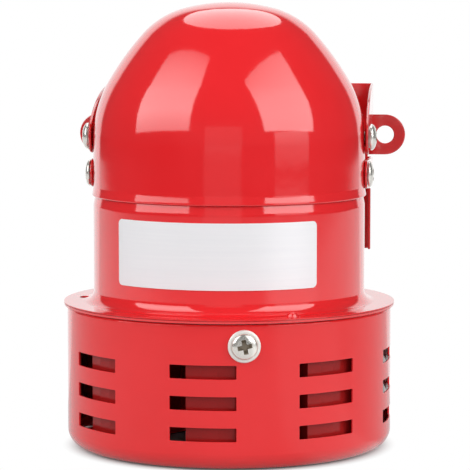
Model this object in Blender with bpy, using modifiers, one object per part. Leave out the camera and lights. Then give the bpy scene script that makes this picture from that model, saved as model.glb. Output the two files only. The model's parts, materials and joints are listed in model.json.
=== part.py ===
"""Small motor siren: a motor in a domed can spins a slotted rotor inside a slotted drum.

Metres, +Z up. The origin is on the siren's axis, at the underside of the drum. The front looks along
-Y and the wall bracket stands at +Y. Angles round the axis are counted from the front towards +X.
"""
import math

import bmesh
import bpy
from mathutils import Matrix, Vector

# Fits and sheet
CLEARANCE = 0.0003
RUNNING_CLEARANCE = 0.00012
HOLE_CLEARANCE = 0.0003
SHEET = 0.0010

# Facets round the axis
SHELL_FACETS = 40
PIECE_FACETS = 24
SMALL_FACETS = 12
ARC_STEP = 11.0

# Can and flange
BODY_RADIUS = 0.0371
BODY_HEIGHT = 0.0288
FLANGE_FILLET = 0.0045
FLANGE_LAND = 0.00365
SHOULDER_HEIGHT = 0.0026
NECK_GAP = 0.0008
FLANGE_HOLE_RADIUS = 0.0011
FLANGE_HOLE_INSET = 0.0050
FLANGE_HOLE_TURN = -92.0

# Domed cap: four tangent arcs from the crown out to the skirt
CROWN_ARC = 0.047
SHOULDER_ARC = 0.023
FLANK_ARC = 0.075
WAIST_ARC = 0.032
CROWN_END = 15.0
SHOULDER_END = 48.0
FLANK_END = 60.0
SKIRT_HEIGHT = 0.0151
FLARE = 0.00035
FLARE_HEIGHT = 0.0016

# Slotted drum
FLANGE_OVERHANG = 0.0009
CAGE_HEIGHT = 0.0385
CAGE_CORNER = 0.0047
INTAKE_RADIUS = 0.0210
SLOT_COLUMNS = 8
SLOT_ROWS = 3
SLOT_HALF_ANGLE = 11.5
SLOT_HEIGHT = 0.0036
SLOT_PITCH = 0.0082
SLOT_LOWEST = 0.0098
SLOT_TURN = -4.4
CUT_MARGIN = 0.0010

# Screws and nuts
SHANK_RADIUS = 0.0015
NUT_FLATS = 0.0055
NUT_THICKNESS = 0.0024
TIP_LENGTH = 0.0005
HEAD_EDGE = 0.0003
CAGE_SCREWS = 3
CAGE_SCREW_DROP = 0.0056
CAGE_SCREW_TURN = 9.7
CAGE_HEAD_RADIUS = 0.0032
CAGE_HEAD_HEIGHT = 0.0015
CAGE_WASHER_RADIUS = 0.0044
CAGE_WASHER = 0.0005
BRACKET_HEAD_RADIUS = 0.0036
BRACKET_HEAD_HEIGHT = 0.0022
UPPER_SCREW_RISE = 0.0008
BOLT_HEAD_RADIUS = 0.0028
BOLT_HEAD_HEIGHT = 0.0020

# Wall bracket
BRACKET_SHEET = 0.0009
WALL_STANDOFF = 0.0010
UPPER_LOBE_RADIUS = 0.0046
LOWER_LOBE_RADIUS = 0.0039
LOBE_TOP_TURN = 120.0
ARM_WIDTH = 0.0084
ARM_RELIEF = 0.0006
EAR_DROP = 0.0020
EAR_RADIUS = 0.0058
EAR_REACH = 0.00325
EAR_HOLE_RADIUS = 0.00255
PLATE_TAIL = 0.0183
TAIL_FLANGE = 0.0040
TAIL_INSET = 0.0006
FOLD_STEP = 0.0003

# Blank label
LABEL_RISE = 0.0067
LABEL_HEIGHT = 0.0176
LABEL_HALF_ANGLE = 46.0
LABEL_TURN = -2.1
LABEL_THICKNESS = 0.00015
LABEL_GAP = 0.00008
LABEL_STEP = 4.0

# Cable grommet
GROMMET_RISE = 0.0100
GROMMET_RADIUS = 0.0054
GROMMET_HOLE_RADIUS = 0.0043
GROMMET_BORE = 0.0030
GROMMET_LIP = 0.0014

# Motor plate
PLATE_SHEET = 0.0012
TAB_WIDTH = 0.0100
TAB_MARGIN = 0.0032

# Motor
MOTOR_GAP = 0.0010
STACK_HEIGHT = 0.0240
YOKE_WIDTH = 0.0035
YOKE_STEPS = 16
POLE_WIDTH = 0.0140
SHOE_HALF_ANGLE = 50.0
SHOE_DEPTH = 0.0026
AIR_GAP = 0.0006
COIL_WIDTH = 0.0040
COIL_CORNER = 0.0020
ARMATURE_RADIUS = 0.0150
ARMATURE_SLOTS = 12
SLOT_SHARE = 0.37
SLOT_DEPTH = 0.0055
WINDING_INSET = 0.0008
BUNDLE_INSET = 0.0005
WINDING_RISE = 0.0068
WINDING_BEVEL = 0.0020
SHAFT_RADIUS = 0.0030
SHAFT_STUB = 0.0010
COMMUTATOR_RADIUS = 0.0080
COMMUTATOR_HEIGHT = 0.0080
COMMUTATOR_GROOVE = 0.0010
COMMUTATOR_GROOVE_ANGLE = 5.0
COMMUTATOR_RISE = 0.0006
FRAME_WALL = 0.0020
FRAME_FLOOR = 0.0025
LOWER_FRAME_HEIGHT = 0.0140
UPPER_FRAME_HEIGHT = 0.0200
WINDOW_WIDTH = 0.0160
WINDOW_HEIGHT = 0.0070
BOLT_INSET = 0.0050
BUSHING_RADIUS = 0.0050
BUSHING_LENGTH = 0.0064

# Brush gear
BRUSH_WIDTH = 0.0040
BRUSH_HEIGHT = 0.0050
BRUSH_LENGTH = 0.0100
HOLDER_WALL = 0.0008
HOLDER_TIP_GAP = 0.0015
HOLDER_STICKOUT = 0.0006
CAP_LENGTH = 0.0026
SPRING_WIRE = 0.00025
SPRING_TURNS = 5
SPRING_POINTS = 9

# Siren rotor
ROTOR_SIDE_GAP = 0.0014
ROTOR_TOP_GAP = 0.0006
ROTOR_FLOOR_GAP = 0.0050
ROTOR_SHEET = 0.0012
ROTOR_PORTS = 8
ROTOR_WALL_ANGLE = 23.0
ROTOR_TURN = -11.0
VANE_INNER_RADIUS = 0.0160
HUB_RADIUS = 0.0080
HUB_LENGTH = 0.0090
STUB_RADIUS = 0.0025
WASHER_THICKNESS = 0.0008
WASHER_RADIUS = 0.0050
ROTOR_NUT_FLATS = 0.0080
ROTOR_NUT_THICKNESS = 0.0035

# Heights up the axis
FLANGE_BOTTOM = CAGE_HEIGHT + CLEARANCE
FLANGE_TOP = FLANGE_BOTTOM + SHEET
SEAM = FLANGE_TOP + BODY_HEIGHT
SKIRT_TOP = SEAM + SKIRT_HEIGHT
NUT_CORNER = NUT_FLATS / 2 / math.cos(math.radians(30))
UPPER_SCREW_Z = SKIRT_TOP + UPPER_SCREW_RISE
LOWER_SCREW_Z = SEAM + FLARE_HEIGHT + CLEARANCE + LOWER_LOBE_RADIUS
NECK_TOP = UPPER_SCREW_Z - NUT_CORNER - NECK_GAP
EAR_Z = UPPER_SCREW_Z - EAR_DROP
CAGE_SCREW_Z = CAGE_HEIGHT - CAGE_SCREW_DROP
PLATE_TOP = FLANGE_BOTTOM - CLEARANCE
PLATE_BOTTOM = PLATE_TOP - PLATE_SHEET
TAB_BOTTOM = CAGE_SCREW_Z - TAB_MARGIN
LOWER_FRAME_BOTTOM = PLATE_TOP + CLEARANCE
STACK_BOTTOM = LOWER_FRAME_BOTTOM + LOWER_FRAME_HEIGHT + CLEARANCE
STACK_TOP = STACK_BOTTOM + STACK_HEIGHT
STACK_MIDDLE = (STACK_BOTTOM + STACK_TOP) / 2
UPPER_FRAME_BOTTOM = STACK_TOP + CLEARANCE
UPPER_FRAME_TOP = UPPER_FRAME_BOTTOM + UPPER_FRAME_HEIGHT
WINDING_TOP = STACK_TOP + CLEARANCE + WINDING_RISE
COMMUTATOR_BOTTOM = WINDING_TOP + COMMUTATOR_RISE
BRUSH_Z = COMMUTATOR_BOTTOM + COMMUTATOR_HEIGHT / 2
UPPER_BUSHING_BOTTOM = COMMUTATOR_BOTTOM + COMMUTATOR_HEIGHT + COMMUTATOR_RISE
UPPER_BUSHING_TOP = UPPER_BUSHING_BOTTOM + BUSHING_LENGTH
SHAFT_TOP = UPPER_BUSHING_TOP + SHAFT_STUB
ROTOR_TOP = TAB_BOTTOM - ROTOR_TOP_GAP
ROTOR_BOTTOM = SHEET + ROTOR_FLOOR_GAP
HUB_BOTTOM = ROTOR_TOP - ROTOR_SHEET - HUB_LENGTH
WASHER_TOP = HUB_BOTTOM - CLEARANCE
ROTOR_NUT_TOP = WASHER_TOP - WASHER_THICKNESS - CLEARANCE
SHAFT_BOTTOM = ROTOR_NUT_TOP - ROTOR_NUT_THICKNESS - SHAFT_STUB

# Radii and offsets from the axis
BODY_INNER = BODY_RADIUS - SHEET
NECK_RADIUS = BODY_INNER - CLEARANCE
NECK_INNER = NECK_RADIUS - SHEET
FLANGE_RADIUS = BODY_RADIUS + FLANGE_FILLET + FLANGE_LAND
CAGE_RADIUS = FLANGE_RADIUS - FLANGE_OVERHANG
CAGE_INNER = CAGE_RADIUS - SHEET
WALL_Y = FLANGE_RADIUS + WALL_STANDOFF
ARM_INNER = BODY_RADIUS + CLEARANCE
ARM_OUTER = ARM_INNER + BRACKET_SHEET
EAR_X = ARM_OUTER + EAR_REACH
FACET_DIP = math.cos(math.pi / SHELL_FACETS)
BORE = SHANK_RADIUS + HOLE_CLEARANCE


def flat_seat(wall_radius, half_width):
    """Distance from the axis at which a flat piece of this half width clears a faceted wall inside."""
    return math.sqrt((wall_radius * FACET_DIP) ** 2 - half_width ** 2) - CLEARANCE


UPPER_NUT_SEAT = flat_seat(BODY_INNER, NUT_CORNER)
LOWER_NUT_SEAT = flat_seat(NECK_INNER, NUT_CORNER)
LOWER_SCREW_TIP = LOWER_NUT_SEAT - NUT_THICKNESS - TIP_LENGTH
MOTOR_RADIUS = LOWER_SCREW_TIP - MOTOR_GAP
YOKE_INNER = MOTOR_RADIUS - YOKE_WIDTH
FRAME_INNER = MOTOR_RADIUS - FRAME_WALL
POLE_RADIUS = ARMATURE_RADIUS + AIR_GAP
SHOE_RADIUS = POLE_RADIUS + SHOE_DEPTH
BOLT_RADIUS = FRAME_INNER - BOLT_INSET
ROTOR_RADIUS = CAGE_INNER - ROTOR_SIDE_GAP
PLATE_RADIUS = CAGE_INNER * FACET_DIP - CLEARANCE
TAB_OUTER = math.sqrt((PLATE_RADIUS * FACET_DIP) ** 2 - (TAB_WIDTH / 2) ** 2)
TAB_INNER = TAB_OUTER - PLATE_SHEET
HOLDER_INNER_WIDTH = BRUSH_WIDTH + 2 * CLEARANCE
HOLDER_INNER_HEIGHT = BRUSH_HEIGHT + 2 * CLEARANCE
HOLDER_WIDTH = HOLDER_INNER_WIDTH + 2 * HOLDER_WALL
HOLDER_HEIGHT = HOLDER_INNER_HEIGHT + 2 * HOLDER_WALL
HOLDER_START = COMMUTATOR_RADIUS + HOLDER_TIP_GAP
HOLDER_END = MOTOR_RADIUS + HOLDER_STICKOUT
BRUSH_START = COMMUTATOR_RADIUS + CLEARANCE
BRUSH_END = BRUSH_START + BRUSH_LENGTH
CAP_START = HOLDER_END - CAP_LENGTH

# Finishes: colour, roughness, metallic
FINISHES = {
    "red_paint": ((0.775, 0.021, 0.025), 0.18, 0.0),
    "rotor_red": ((0.55, 0.018, 0.020), 0.35, 0.0),
    "bright_screw": ((0.80, 0.78, 0.72), 0.22, 1.0),
    "label_silver": ((0.72, 0.74, 0.78), 0.35, 0.0),
    "black_rubber": ((0.02, 0.02, 0.02), 0.70, 0.0),
    "zinc_plate": ((0.55, 0.56, 0.58), 0.40, 1.0),
    "lamination": ((0.26, 0.27, 0.29), 0.50, 1.0),
    "copper_winding": ((0.55, 0.20, 0.08), 0.35, 1.0),
    "cast_alloy": ((0.60, 0.60, 0.61), 0.45, 1.0),
    "sintered_bronze": ((0.45, 0.30, 0.13), 0.50, 1.0),
    "shaft_steel": ((0.58, 0.58, 0.60), 0.25, 1.0),
    "brass": ((0.72, 0.52, 0.22), 0.35, 1.0),
    "carbon": ((0.03, 0.03, 0.035), 0.60, 0.0),
    "cap_plastic": ((0.05, 0.04, 0.035), 0.40, 0.0),
}

CROSSWISE = Matrix(((0, 0, 1), (1, 0, 0), (0, 1, 0))).to_4x4()
UPRIGHT = Matrix.Rotation(math.radians(90), 4, "X")


def clear_scene():
    for obj in list(bpy.data.objects):
        bpy.data.objects.remove(obj, do_unlink=True)


def new_collection(name):
    collection = bpy.data.collections.new(name)
    bpy.context.scene.collection.children.link(collection)
    return collection


clear_scene()
PARTS = new_collection("motor_siren")
CUTTERS = new_collection("cutters")


def finish(name):
    """Principled material of one finish, made once."""
    material = bpy.data.materials.get(name)
    if material:
        return material
    colour, roughness, metallic = FINISHES[name]
    material = bpy.data.materials.new(name)
    material.use_nodes = True
    shader = material.node_tree.nodes["Principled BSDF"]
    shader.inputs["Base Color"].default_value = (*colour, 1.0)
    shader.inputs["Roughness"].default_value = roughness
    shader.inputs["Metallic"].default_value = metallic
    return material


def place(name, mesh, finish_name=None, matrix=Matrix()):
    """Put a mesh in the scene as a part, or as a hidden cutter when it has no finish."""
    obj = bpy.data.objects.new(name, mesh)
    obj.matrix_world = matrix
    if finish_name:
        PARTS.objects.link(obj)
        mesh.materials.append(finish(finish_name))
    else:
        CUTTERS.objects.link(obj)
        obj.hide_render = True
        obj.display_type = "WIRE"
    return obj


def on_circle(radius, degrees):
    """Point on a circle round the axis, at an angle from the front."""
    angle = math.radians(degrees)
    return (radius * math.sin(angle), -radius * math.cos(angle))


def arc(centre, radius, start, end, steps):
    """Points of an arc in the plane, from one angle in degrees to another."""
    angles = [math.radians(start + (end - start) * i / steps) for i in range(steps + 1)]
    return [(centre[0] + radius * math.cos(a), centre[1] + radius * math.sin(a)) for a in angles]


def circle(centre, radius, facets=SMALL_FACETS):
    return arc(centre, radius, 0.0, 360.0, facets)[:-1]


def sector(inner, outer, middle, half_angle, step=ARC_STEP):
    """Outline of a ring sector round the axis, centred on an angle from the front."""
    steps = max(2, round(2 * half_angle / step))
    turns = [middle + half_angle * (2 * i / steps - 1) for i in range(steps + 1)]
    return [on_circle(outer, t) for t in turns] + [on_circle(inner, t) for t in reversed(turns)]


def rectangle(half_width, half_height):
    return [
        (-half_width, -half_height),
        (half_width, -half_height),
        (half_width, half_height),
        (-half_width, half_height),
    ]


def rounded_rectangle(half_width, half_height, radius):
    x = half_width - radius
    y = half_height - radius
    corners = (((x, -y), -90.0), ((x, y), 0.0), ((-x, y), 90.0), ((-x, -y), 180.0))
    points = []
    for centre, start in corners:
        points += arc(centre, radius, start, start + 90.0, 3)
    return points


def turned(name, profile, finish_name=None, facets=SHELL_FACETS, closed=False, matrix=Matrix()):
    """Turn a profile of (radius, height) points round the object's own Z axis."""
    points = [(r, 0.0, z) for r, z in profile]
    edges = [(i, i + 1) for i in range(len(points) - 1)]
    if closed:
        edges.append((len(points) - 1, 0))
    mesh = bpy.data.meshes.new(name)
    mesh.from_pydata(points, edges, [])
    obj = place(name, mesh, finish_name, matrix)
    screw = obj.modifiers.new("turn", "SCREW")
    screw.axis = "Z"
    screw.steps = facets
    screw.render_steps = facets
    screw.use_merge_vertices = True
    screw.merge_threshold = 0.00001
    screw.use_smooth_shade = True
    return obj


def plate_mesh(name, outlines, thickness):
    """Flat plate in the XY plane, centred on Z = 0. Inner outlines are holes."""
    curve = bpy.data.curves.new(name, "CURVE")
    curve.dimensions = "2D"
    curve.fill_mode = "BOTH"
    curve.extrude = thickness / 2
    for outline in outlines:
        spline = curve.splines.new("POLY")
        spline.points.add(len(outline) - 1)
        for point, (x, y) in zip(spline.points, outline):
            point.co = (x, y, 0.0, 1.0)
        spline.use_cyclic_u = True
    return curve_mesh(name, curve)


def curve_mesh(name, curve):
    """Closed mesh of a curve, with its caps welded on."""
    source = bpy.data.objects.new(name, curve)
    CUTTERS.objects.link(source)
    depsgraph = bpy.context.evaluated_depsgraph_get()
    mesh = bpy.data.meshes.new_from_object(source.evaluated_get(depsgraph))
    bpy.data.objects.remove(source, do_unlink=True)
    work = bmesh.new()
    work.from_mesh(mesh)
    bmesh.ops.remove_doubles(work, verts=work.verts, dist=0.000001)
    work.to_mesh(mesh)
    work.free()
    return mesh


def plate(name, outlines, thickness, finish_name=None, matrix=Matrix()):
    return place(name, plate_mesh(name, outlines, thickness), finish_name, matrix)


def gathered(name, meshes):
    """One cutter object from several separate meshes, each already in place."""
    work = bmesh.new()
    for mesh in meshes:
        work.from_mesh(mesh)
    result = bpy.data.meshes.new(name)
    work.to_mesh(result)
    work.free()
    return place(name, result)


def block_mesh(name, size, centre):
    work = bmesh.new()
    bmesh.ops.create_cube(work, size=1.0)
    bmesh.ops.scale(work, vec=Vector(size), verts=work.verts)
    bmesh.ops.translate(work, vec=Vector(centre), verts=work.verts)
    mesh = bpy.data.meshes.new(name)
    work.to_mesh(mesh)
    work.free()
    return mesh


def combine(obj, tool, operation):
    boolean = obj.modifiers.new(tool.name, "BOOLEAN")
    boolean.operation = operation
    boolean.solver = "EXACT"
    boolean.object = tool


def cut(obj, tool):
    combine(obj, tool, "DIFFERENCE")


def join(obj, tool):
    combine(obj, tool, "UNION")


def thicken(obj, thickness):
    """Give an open turned surface its sheet thickness, towards the inside."""
    solid = obj.modifiers.new("sheet", "SOLIDIFY")
    solid.thickness = thickness
    solid.offset = -1.0
    solid.use_even_offset = True


def outward(point, direction):
    """Matrix that sets a piece's Z axis along a direction, with its origin at a point."""
    turn = Vector(direction).to_track_quat("Z", "Y")
    return Matrix.Translation(point) @ turn.to_matrix().to_4x4()


def pin_cutter(name, radius, start, direction, length):
    """Round cutter that starts at a point and runs along a direction, turned by half a facet."""
    profile = [(0.0, length), (radius, length), (radius, 0.0), (0.0, 0.0)]
    half_facet = Matrix.Rotation(math.pi / SMALL_FACETS, 4, "Z")
    return turned(name, profile, facets=SMALL_FACETS, matrix=outward(start, direction) @ half_facet)


def radial(degrees):
    x, y = on_circle(1.0, degrees)
    return Vector((x, y, 0.0))


def sideways(side):
    return Vector((side, 0.0, 0.0))


def pan_screw(name, seat, direction, head_radius, head_height, length, washer_radius=0.0, washer=0.0):
    """Domed screw whose head sits at a point, with its head along a direction."""
    dome = head_height - HEAD_EDGE
    profile = []
    for degrees in (0, 25, 50, 70, 90):
        angle = math.radians(degrees)
        profile.append((head_radius * math.sin(angle), washer + HEAD_EDGE + dome * math.cos(angle)))
    if washer:
        profile += [(head_radius, washer), (washer_radius, washer), (washer_radius, 0.0)]
    else:
        profile.append((head_radius, 0.0))
    profile += [(SHANK_RADIUS, 0.0), (SHANK_RADIUS, -length), (0.0, -length)]
    return turned(name, profile, "bright_screw", SMALL_FACETS, matrix=outward(seat, direction))


def hex_nut(name, seat, direction, flats, thickness, bore, finish_name):
    """Hexagon nut whose far face sits at a point and whose body runs back against a direction."""
    hexagon = arc((0.0, 0.0), flats / 2 / math.cos(math.radians(30)), 0.0, 360.0, 6)[:-1]
    middle = Vector(seat) - Vector(direction) * (thickness / 2)
    outlines = [hexagon, circle((0.0, 0.0), bore)]
    return plate(name, outlines, thickness, finish_name, outward(middle, direction))


def ring(name, outer, inner, bottom, top, finish_name, facets=PIECE_FACETS):
    profile = [(outer, top), (outer, bottom), (inner, bottom), (inner, top)]
    return turned(name, profile, finish_name, facets, closed=True)


def dome_points():
    """Outer profile of the cap: four tangent arcs scaled together to meet the skirt, then the flare."""
    ends = (0.0, CROWN_END, SHOULDER_END, FLANK_END, 90.0)
    radii = (CROWN_ARC, SHOULDER_ARC, FLANK_ARC, WAIST_ARC)
    sines = [math.sin(math.radians(end)) for end in ends]
    cosines = [math.cos(math.radians(end)) for end in ends]
    reach = sum(r * (sines[i + 1] - sines[i]) for i, r in enumerate(radii))
    fit = BODY_RADIUS / reach
    rise = sum(r * (cosines[i] - cosines[i + 1]) for i, r in enumerate(radii)) * fit
    radius = 0.0
    height = SKIRT_TOP + rise
    points = [(radius, height)]
    for i, arc_radius in enumerate(radii):
        steps = math.ceil((ends[i + 1] - ends[i]) / ARC_STEP)
        for step in range(1, steps + 1):
            angle = math.radians(ends[i] + (ends[i + 1] - ends[i]) * step / steps)
            points.append((
                radius + fit * arc_radius * (math.sin(angle) - sines[i]),
                height - fit * arc_radius * (cosines[i] - math.cos(angle)),
            ))
        radius, height = points[-1]
    points.append((BODY_RADIUS, SEAM + FLARE_HEIGHT))
    points.append((BODY_RADIUS + FLARE, SEAM + FLARE_HEIGHT / 2))
    points.append((BODY_RADIUS + FLARE, SEAM))
    return points


def dome_cap():
    cap = turned("dome_cap", dome_points(), "red_paint")
    thicken(cap, SHEET)
    for side in (-1, 1):
        for label, z in (("upper", UPPER_SCREW_Z), ("lower", LOWER_SCREW_Z)):
            start = (side * UPPER_NUT_SEAT, 0.0, z)
            cut(cap, pin_cutter(f"cap_{label}_hole", BORE, start, sideways(side), ARM_OUTER - UPPER_NUT_SEAT))


def motor_body():
    """Can with a necked sleeve that goes up inside the cap and a flange turned out at its foot."""
    shoulder = SEAM - CLEARANCE
    points = [(NECK_RADIUS, NECK_TOP)]
    for degrees in (90, 60, 30, 0):
        angle = math.radians(degrees)
        points.append((
            NECK_RADIUS + (BODY_RADIUS - NECK_RADIUS) * math.cos(angle),
            shoulder - SHOULDER_HEIGHT * (1.0 - math.sin(angle)),
        ))
    centre = (BODY_RADIUS + FLANGE_FILLET, FLANGE_TOP + FLANGE_FILLET)
    points += arc(centre, FLANGE_FILLET, 180.0, 270.0, 5)
    points.append((FLANGE_RADIUS, FLANGE_TOP))
    body = turned("motor_body", points, "red_paint")
    thicken(body, SHEET)
    for side in (-1, 1):
        start = (side * LOWER_NUT_SEAT, 0.0, LOWER_SCREW_Z)
        cut(body, pin_cutter("neck_hole", BORE, start, sideways(side), ARM_OUTER - LOWER_NUT_SEAT))
    x, y = on_circle(FLANGE_RADIUS - FLANGE_HOLE_INSET, FLANGE_HOLE_TURN)
    start = (x, y, FLANGE_BOTTOM - SHEET)
    cut(body, pin_cutter("flange_hole", FLANGE_HOLE_RADIUS, start, (0.0, 0.0, 1.0), 3 * SHEET))
    start = (0.0, BODY_INNER - GROMMET_RADIUS, FLANGE_TOP + GROMMET_RISE)
    cut(body, pin_cutter("grommet_hole", GROMMET_HOLE_RADIUS, start, (0.0, 1.0, 0.0), 2 * GROMMET_RADIUS))


def sound_cage():
    """Slotted drum with an open air intake in its floor."""
    corner = (CAGE_RADIUS - CAGE_CORNER, CAGE_CORNER)
    points = [(CAGE_RADIUS, CAGE_HEIGHT)]
    points += arc(corner, CAGE_CORNER, 0.0, -90.0, 5)
    points.append((INTAKE_RADIUS, 0.0))
    cage = turned("sound_cage", points, "red_paint")
    thicken(cage, SHEET)
    slots = []
    for column in range(SLOT_COLUMNS):
        outline = sector(
            CAGE_INNER - CUT_MARGIN,
            CAGE_RADIUS + CUT_MARGIN,
            SLOT_TURN + column * 360.0 / SLOT_COLUMNS,
            SLOT_HALF_ANGLE,
        )
        for row in range(SLOT_ROWS):
            slot = plate_mesh("slot", [outline], SLOT_HEIGHT)
            slot.transform(Matrix.Translation((0.0, 0.0, SLOT_LOWEST + row * SLOT_PITCH)))
            slots.append(slot)
    cut(cage, gathered("cage_slots", slots))
    for index in range(CAGE_SCREWS):
        direction = radial(cage_screw_turn(index))
        start = direction * TAB_INNER + Vector((0.0, 0.0, CAGE_SCREW_Z))
        cut(cage, pin_cutter("cage_hole", BORE, start, direction, CAGE_RADIUS + CUT_MARGIN - TAB_INNER))


def cage_screw_turn(index):
    return CAGE_SCREW_TURN + index * 360.0 / CAGE_SCREWS


def cage_fasteners():
    level = Vector((0.0, 0.0, CAGE_SCREW_Z))
    nut_seat = TAB_INNER - CLEARANCE
    head_seat = CAGE_RADIUS + CLEARANCE
    length = head_seat - nut_seat + NUT_THICKNESS + TIP_LENGTH
    for index in range(CAGE_SCREWS):
        direction = radial(cage_screw_turn(index))
        pan_screw(
            f"cage_screw_{index + 1}", direction * head_seat + level, direction,
            CAGE_HEAD_RADIUS, CAGE_HEAD_HEIGHT, length, CAGE_WASHER_RADIUS, CAGE_WASHER,
        )
        hex_nut(
            f"cage_nut_{index + 1}", direction * nut_seat + level, direction,
            NUT_FLATS, NUT_THICKNESS, BORE, "zinc_plate",
        )


def tangent_point(centre, radius, point, side):
    """Point where a line from a point touches a circle, on one side of it."""
    dx = point[0] - centre[0]
    dy = point[1] - centre[1]
    angle = math.atan2(dy, dx) + side * math.acos(radius / math.hypot(dx, dy))
    return math.degrees(angle)


def swept_edge(corner, centre, radius, turn, steps=8):
    """Edge that leaves a corner level and bends down on to a circle, touching it at a given turn."""
    angle = math.radians(turn)
    y = centre[0] + radius * math.cos(angle)
    z = centre[1] + radius * math.sin(angle)
    knee = y - (corner[1] - z) * math.tan(angle)
    shares = [i / steps for i in range(steps)]
    return [
        (
            corner[0] * (1 - t) ** 2 + 2 * knee * t * (1 - t) + y * t ** 2,
            corner[1] * (1 - t ** 2) + z * t ** 2,
        )
        for t in shares
    ]


def arm_outline(screw_z, lobe, low, high, top_turn=None):
    """Arm from the back plate's edge, between two heights, to a lobe round its screw.

    Its top edge runs straight to the lobe, or bends down on to it at a given turn.
    """
    root = WALL_Y - BRACKET_SHEET / 2
    centre = (0.0, screw_z)
    top = [(root, high)]
    start = tangent_point(centre, lobe, (root, high), 1)
    if top_turn is not None:
        top = swept_edge((root, high), centre, lobe, top_turn)
        start = top_turn
    end = tangent_point(centre, lobe, (root, low), -1) + 360.0
    return [(root, low)] + top + arc(centre, lobe, start, end, 12)


def mounting_bracket():
    """Back plate with two holed ears; at each side two arms and the tail's flange fold forward."""
    ear_top = EAR_Z + EAR_RADIUS
    ear_bottom = EAR_Z - EAR_RADIUS
    plate_top = ear_top + ARM_RELIEF + ARM_WIDTH
    lower_arm = ear_bottom - ARM_RELIEF - ARM_WIDTH
    tail = lower_arm - PLATE_TAIL
    tail_top = lower_arm - 2 * FOLD_STEP
    root = WALL_Y - BRACKET_SHEET / 2
    edge = ARM_OUTER - BRACKET_SHEET / 2
    tail_edge = edge - TAIL_INSET
    root_half = EAR_RADIUS + ARM_RELIEF / 2
    right = [(tail_edge, tail), (tail_edge, tail_top)]
    right += [(edge, tail_top + FOLD_STEP), (edge, EAR_Z - root_half)]
    right += arc((EAR_X, EAR_Z), EAR_RADIUS, -90.0, 90.0, 12)
    right += [(edge, EAR_Z + root_half), (edge, plate_top - FOLD_STEP)]
    left = [(-x, z) for x, z in reversed(right)]
    holes = [circle((side * EAR_X, EAR_Z), EAR_HOLE_RADIUS) for side in (-1, 1)]
    back = Matrix.Translation((0.0, root, 0.0)) @ UPRIGHT
    bracket = plate("mounting_bracket", [right + left] + holes, BRACKET_SHEET, "red_paint", back)
    arms = (
        ("upper", UPPER_SCREW_Z, arm_outline(
            UPPER_SCREW_Z, UPPER_LOBE_RADIUS, ear_top + ARM_RELIEF, plate_top, LOBE_TOP_TURN,
        )),
        ("lower", LOWER_SCREW_Z, arm_outline(
            LOWER_SCREW_Z, LOWER_LOBE_RADIUS, lower_arm, lower_arm + ARM_WIDTH,
        )),
    )
    front = WALL_Y - TAIL_FLANGE
    flange_low = tail + FOLD_STEP
    flange_high = tail_top - FOLD_STEP
    flange = [(root, flange_low), (root, flange_high), (front, flange_high), (front, flange_low)]
    for side in (-1, 1):
        arm_plane = Matrix.Translation((side * edge, 0.0, 0.0)) @ CROSSWISE
        for label, screw_z, outline in arms:
            hole = circle((0.0, screw_z), BORE)
            join(bracket, plate(f"{label}_arm", [outline, hole], BRACKET_SHEET, matrix=arm_plane))
        tail_plane = Matrix.Translation((side * tail_edge, 0.0, 0.0)) @ CROSSWISE
        join(bracket, plate("tail_flange", [flange], BRACKET_SHEET, matrix=tail_plane))


def bracket_fasteners():
    rows = (("upper", UPPER_SCREW_Z, UPPER_NUT_SEAT), ("lower", LOWER_SCREW_Z, LOWER_NUT_SEAT))
    head_seat = ARM_OUTER + CLEARANCE
    for side_name, side in (("left", -1), ("right", 1)):
        for label, z, nut_seat in rows:
            direction = sideways(side)
            length = head_seat - nut_seat + NUT_THICKNESS + TIP_LENGTH
            pan_screw(
                f"bracket_screw_{label}_{side_name}", (side * head_seat, 0.0, z), direction,
                BRACKET_HEAD_RADIUS, BRACKET_HEAD_HEIGHT, length,
            )
            hex_nut(
                f"bracket_nut_{label}_{side_name}", (side * nut_seat, 0.0, z), direction,
                NUT_FLATS, NUT_THICKNESS, BORE, "zinc_plate",
            )


def name_label():
    inner = (BODY_RADIUS + LABEL_GAP) / math.cos(math.radians(LABEL_STEP / 2))
    outline = sector(inner, inner + LABEL_THICKNESS, LABEL_TURN, LABEL_HALF_ANGLE, LABEL_STEP)
    middle = FLANGE_TOP + LABEL_RISE + LABEL_HEIGHT / 2
    plate("name_label", [outline], LABEL_HEIGHT, "label_silver", Matrix.Translation((0.0, 0.0, middle)))


def cable_grommet():
    """Rubber spool in the rear of the can, with the cable bore through it."""
    groove_out = BODY_RADIUS + CLEARANCE
    groove_in = flat_seat(BODY_INNER, GROMMET_RADIUS)
    neck = GROMMET_HOLE_RADIUS - HOLE_CLEARANCE
    profile = [
        (GROMMET_BORE, groove_out + GROMMET_LIP),
        (GROMMET_RADIUS - GROMMET_LIP / 2, groove_out + GROMMET_LIP),
        (GROMMET_RADIUS, groove_out + GROMMET_LIP / 2),
        (GROMMET_RADIUS, groove_out),
        (neck, groove_out),
        (neck, groove_in),
        (GROMMET_RADIUS, groove_in),
        (GROMMET_RADIUS, groove_in - GROMMET_LIP),
        (GROMMET_BORE, groove_in - GROMMET_LIP),
    ]
    where = outward((0.0, 0.0, FLANGE_TOP + GROMMET_RISE), (0.0, 1.0, 0.0))
    turned("cable_grommet", profile, "black_rubber", PIECE_FACETS, closed=True, matrix=where)


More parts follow.
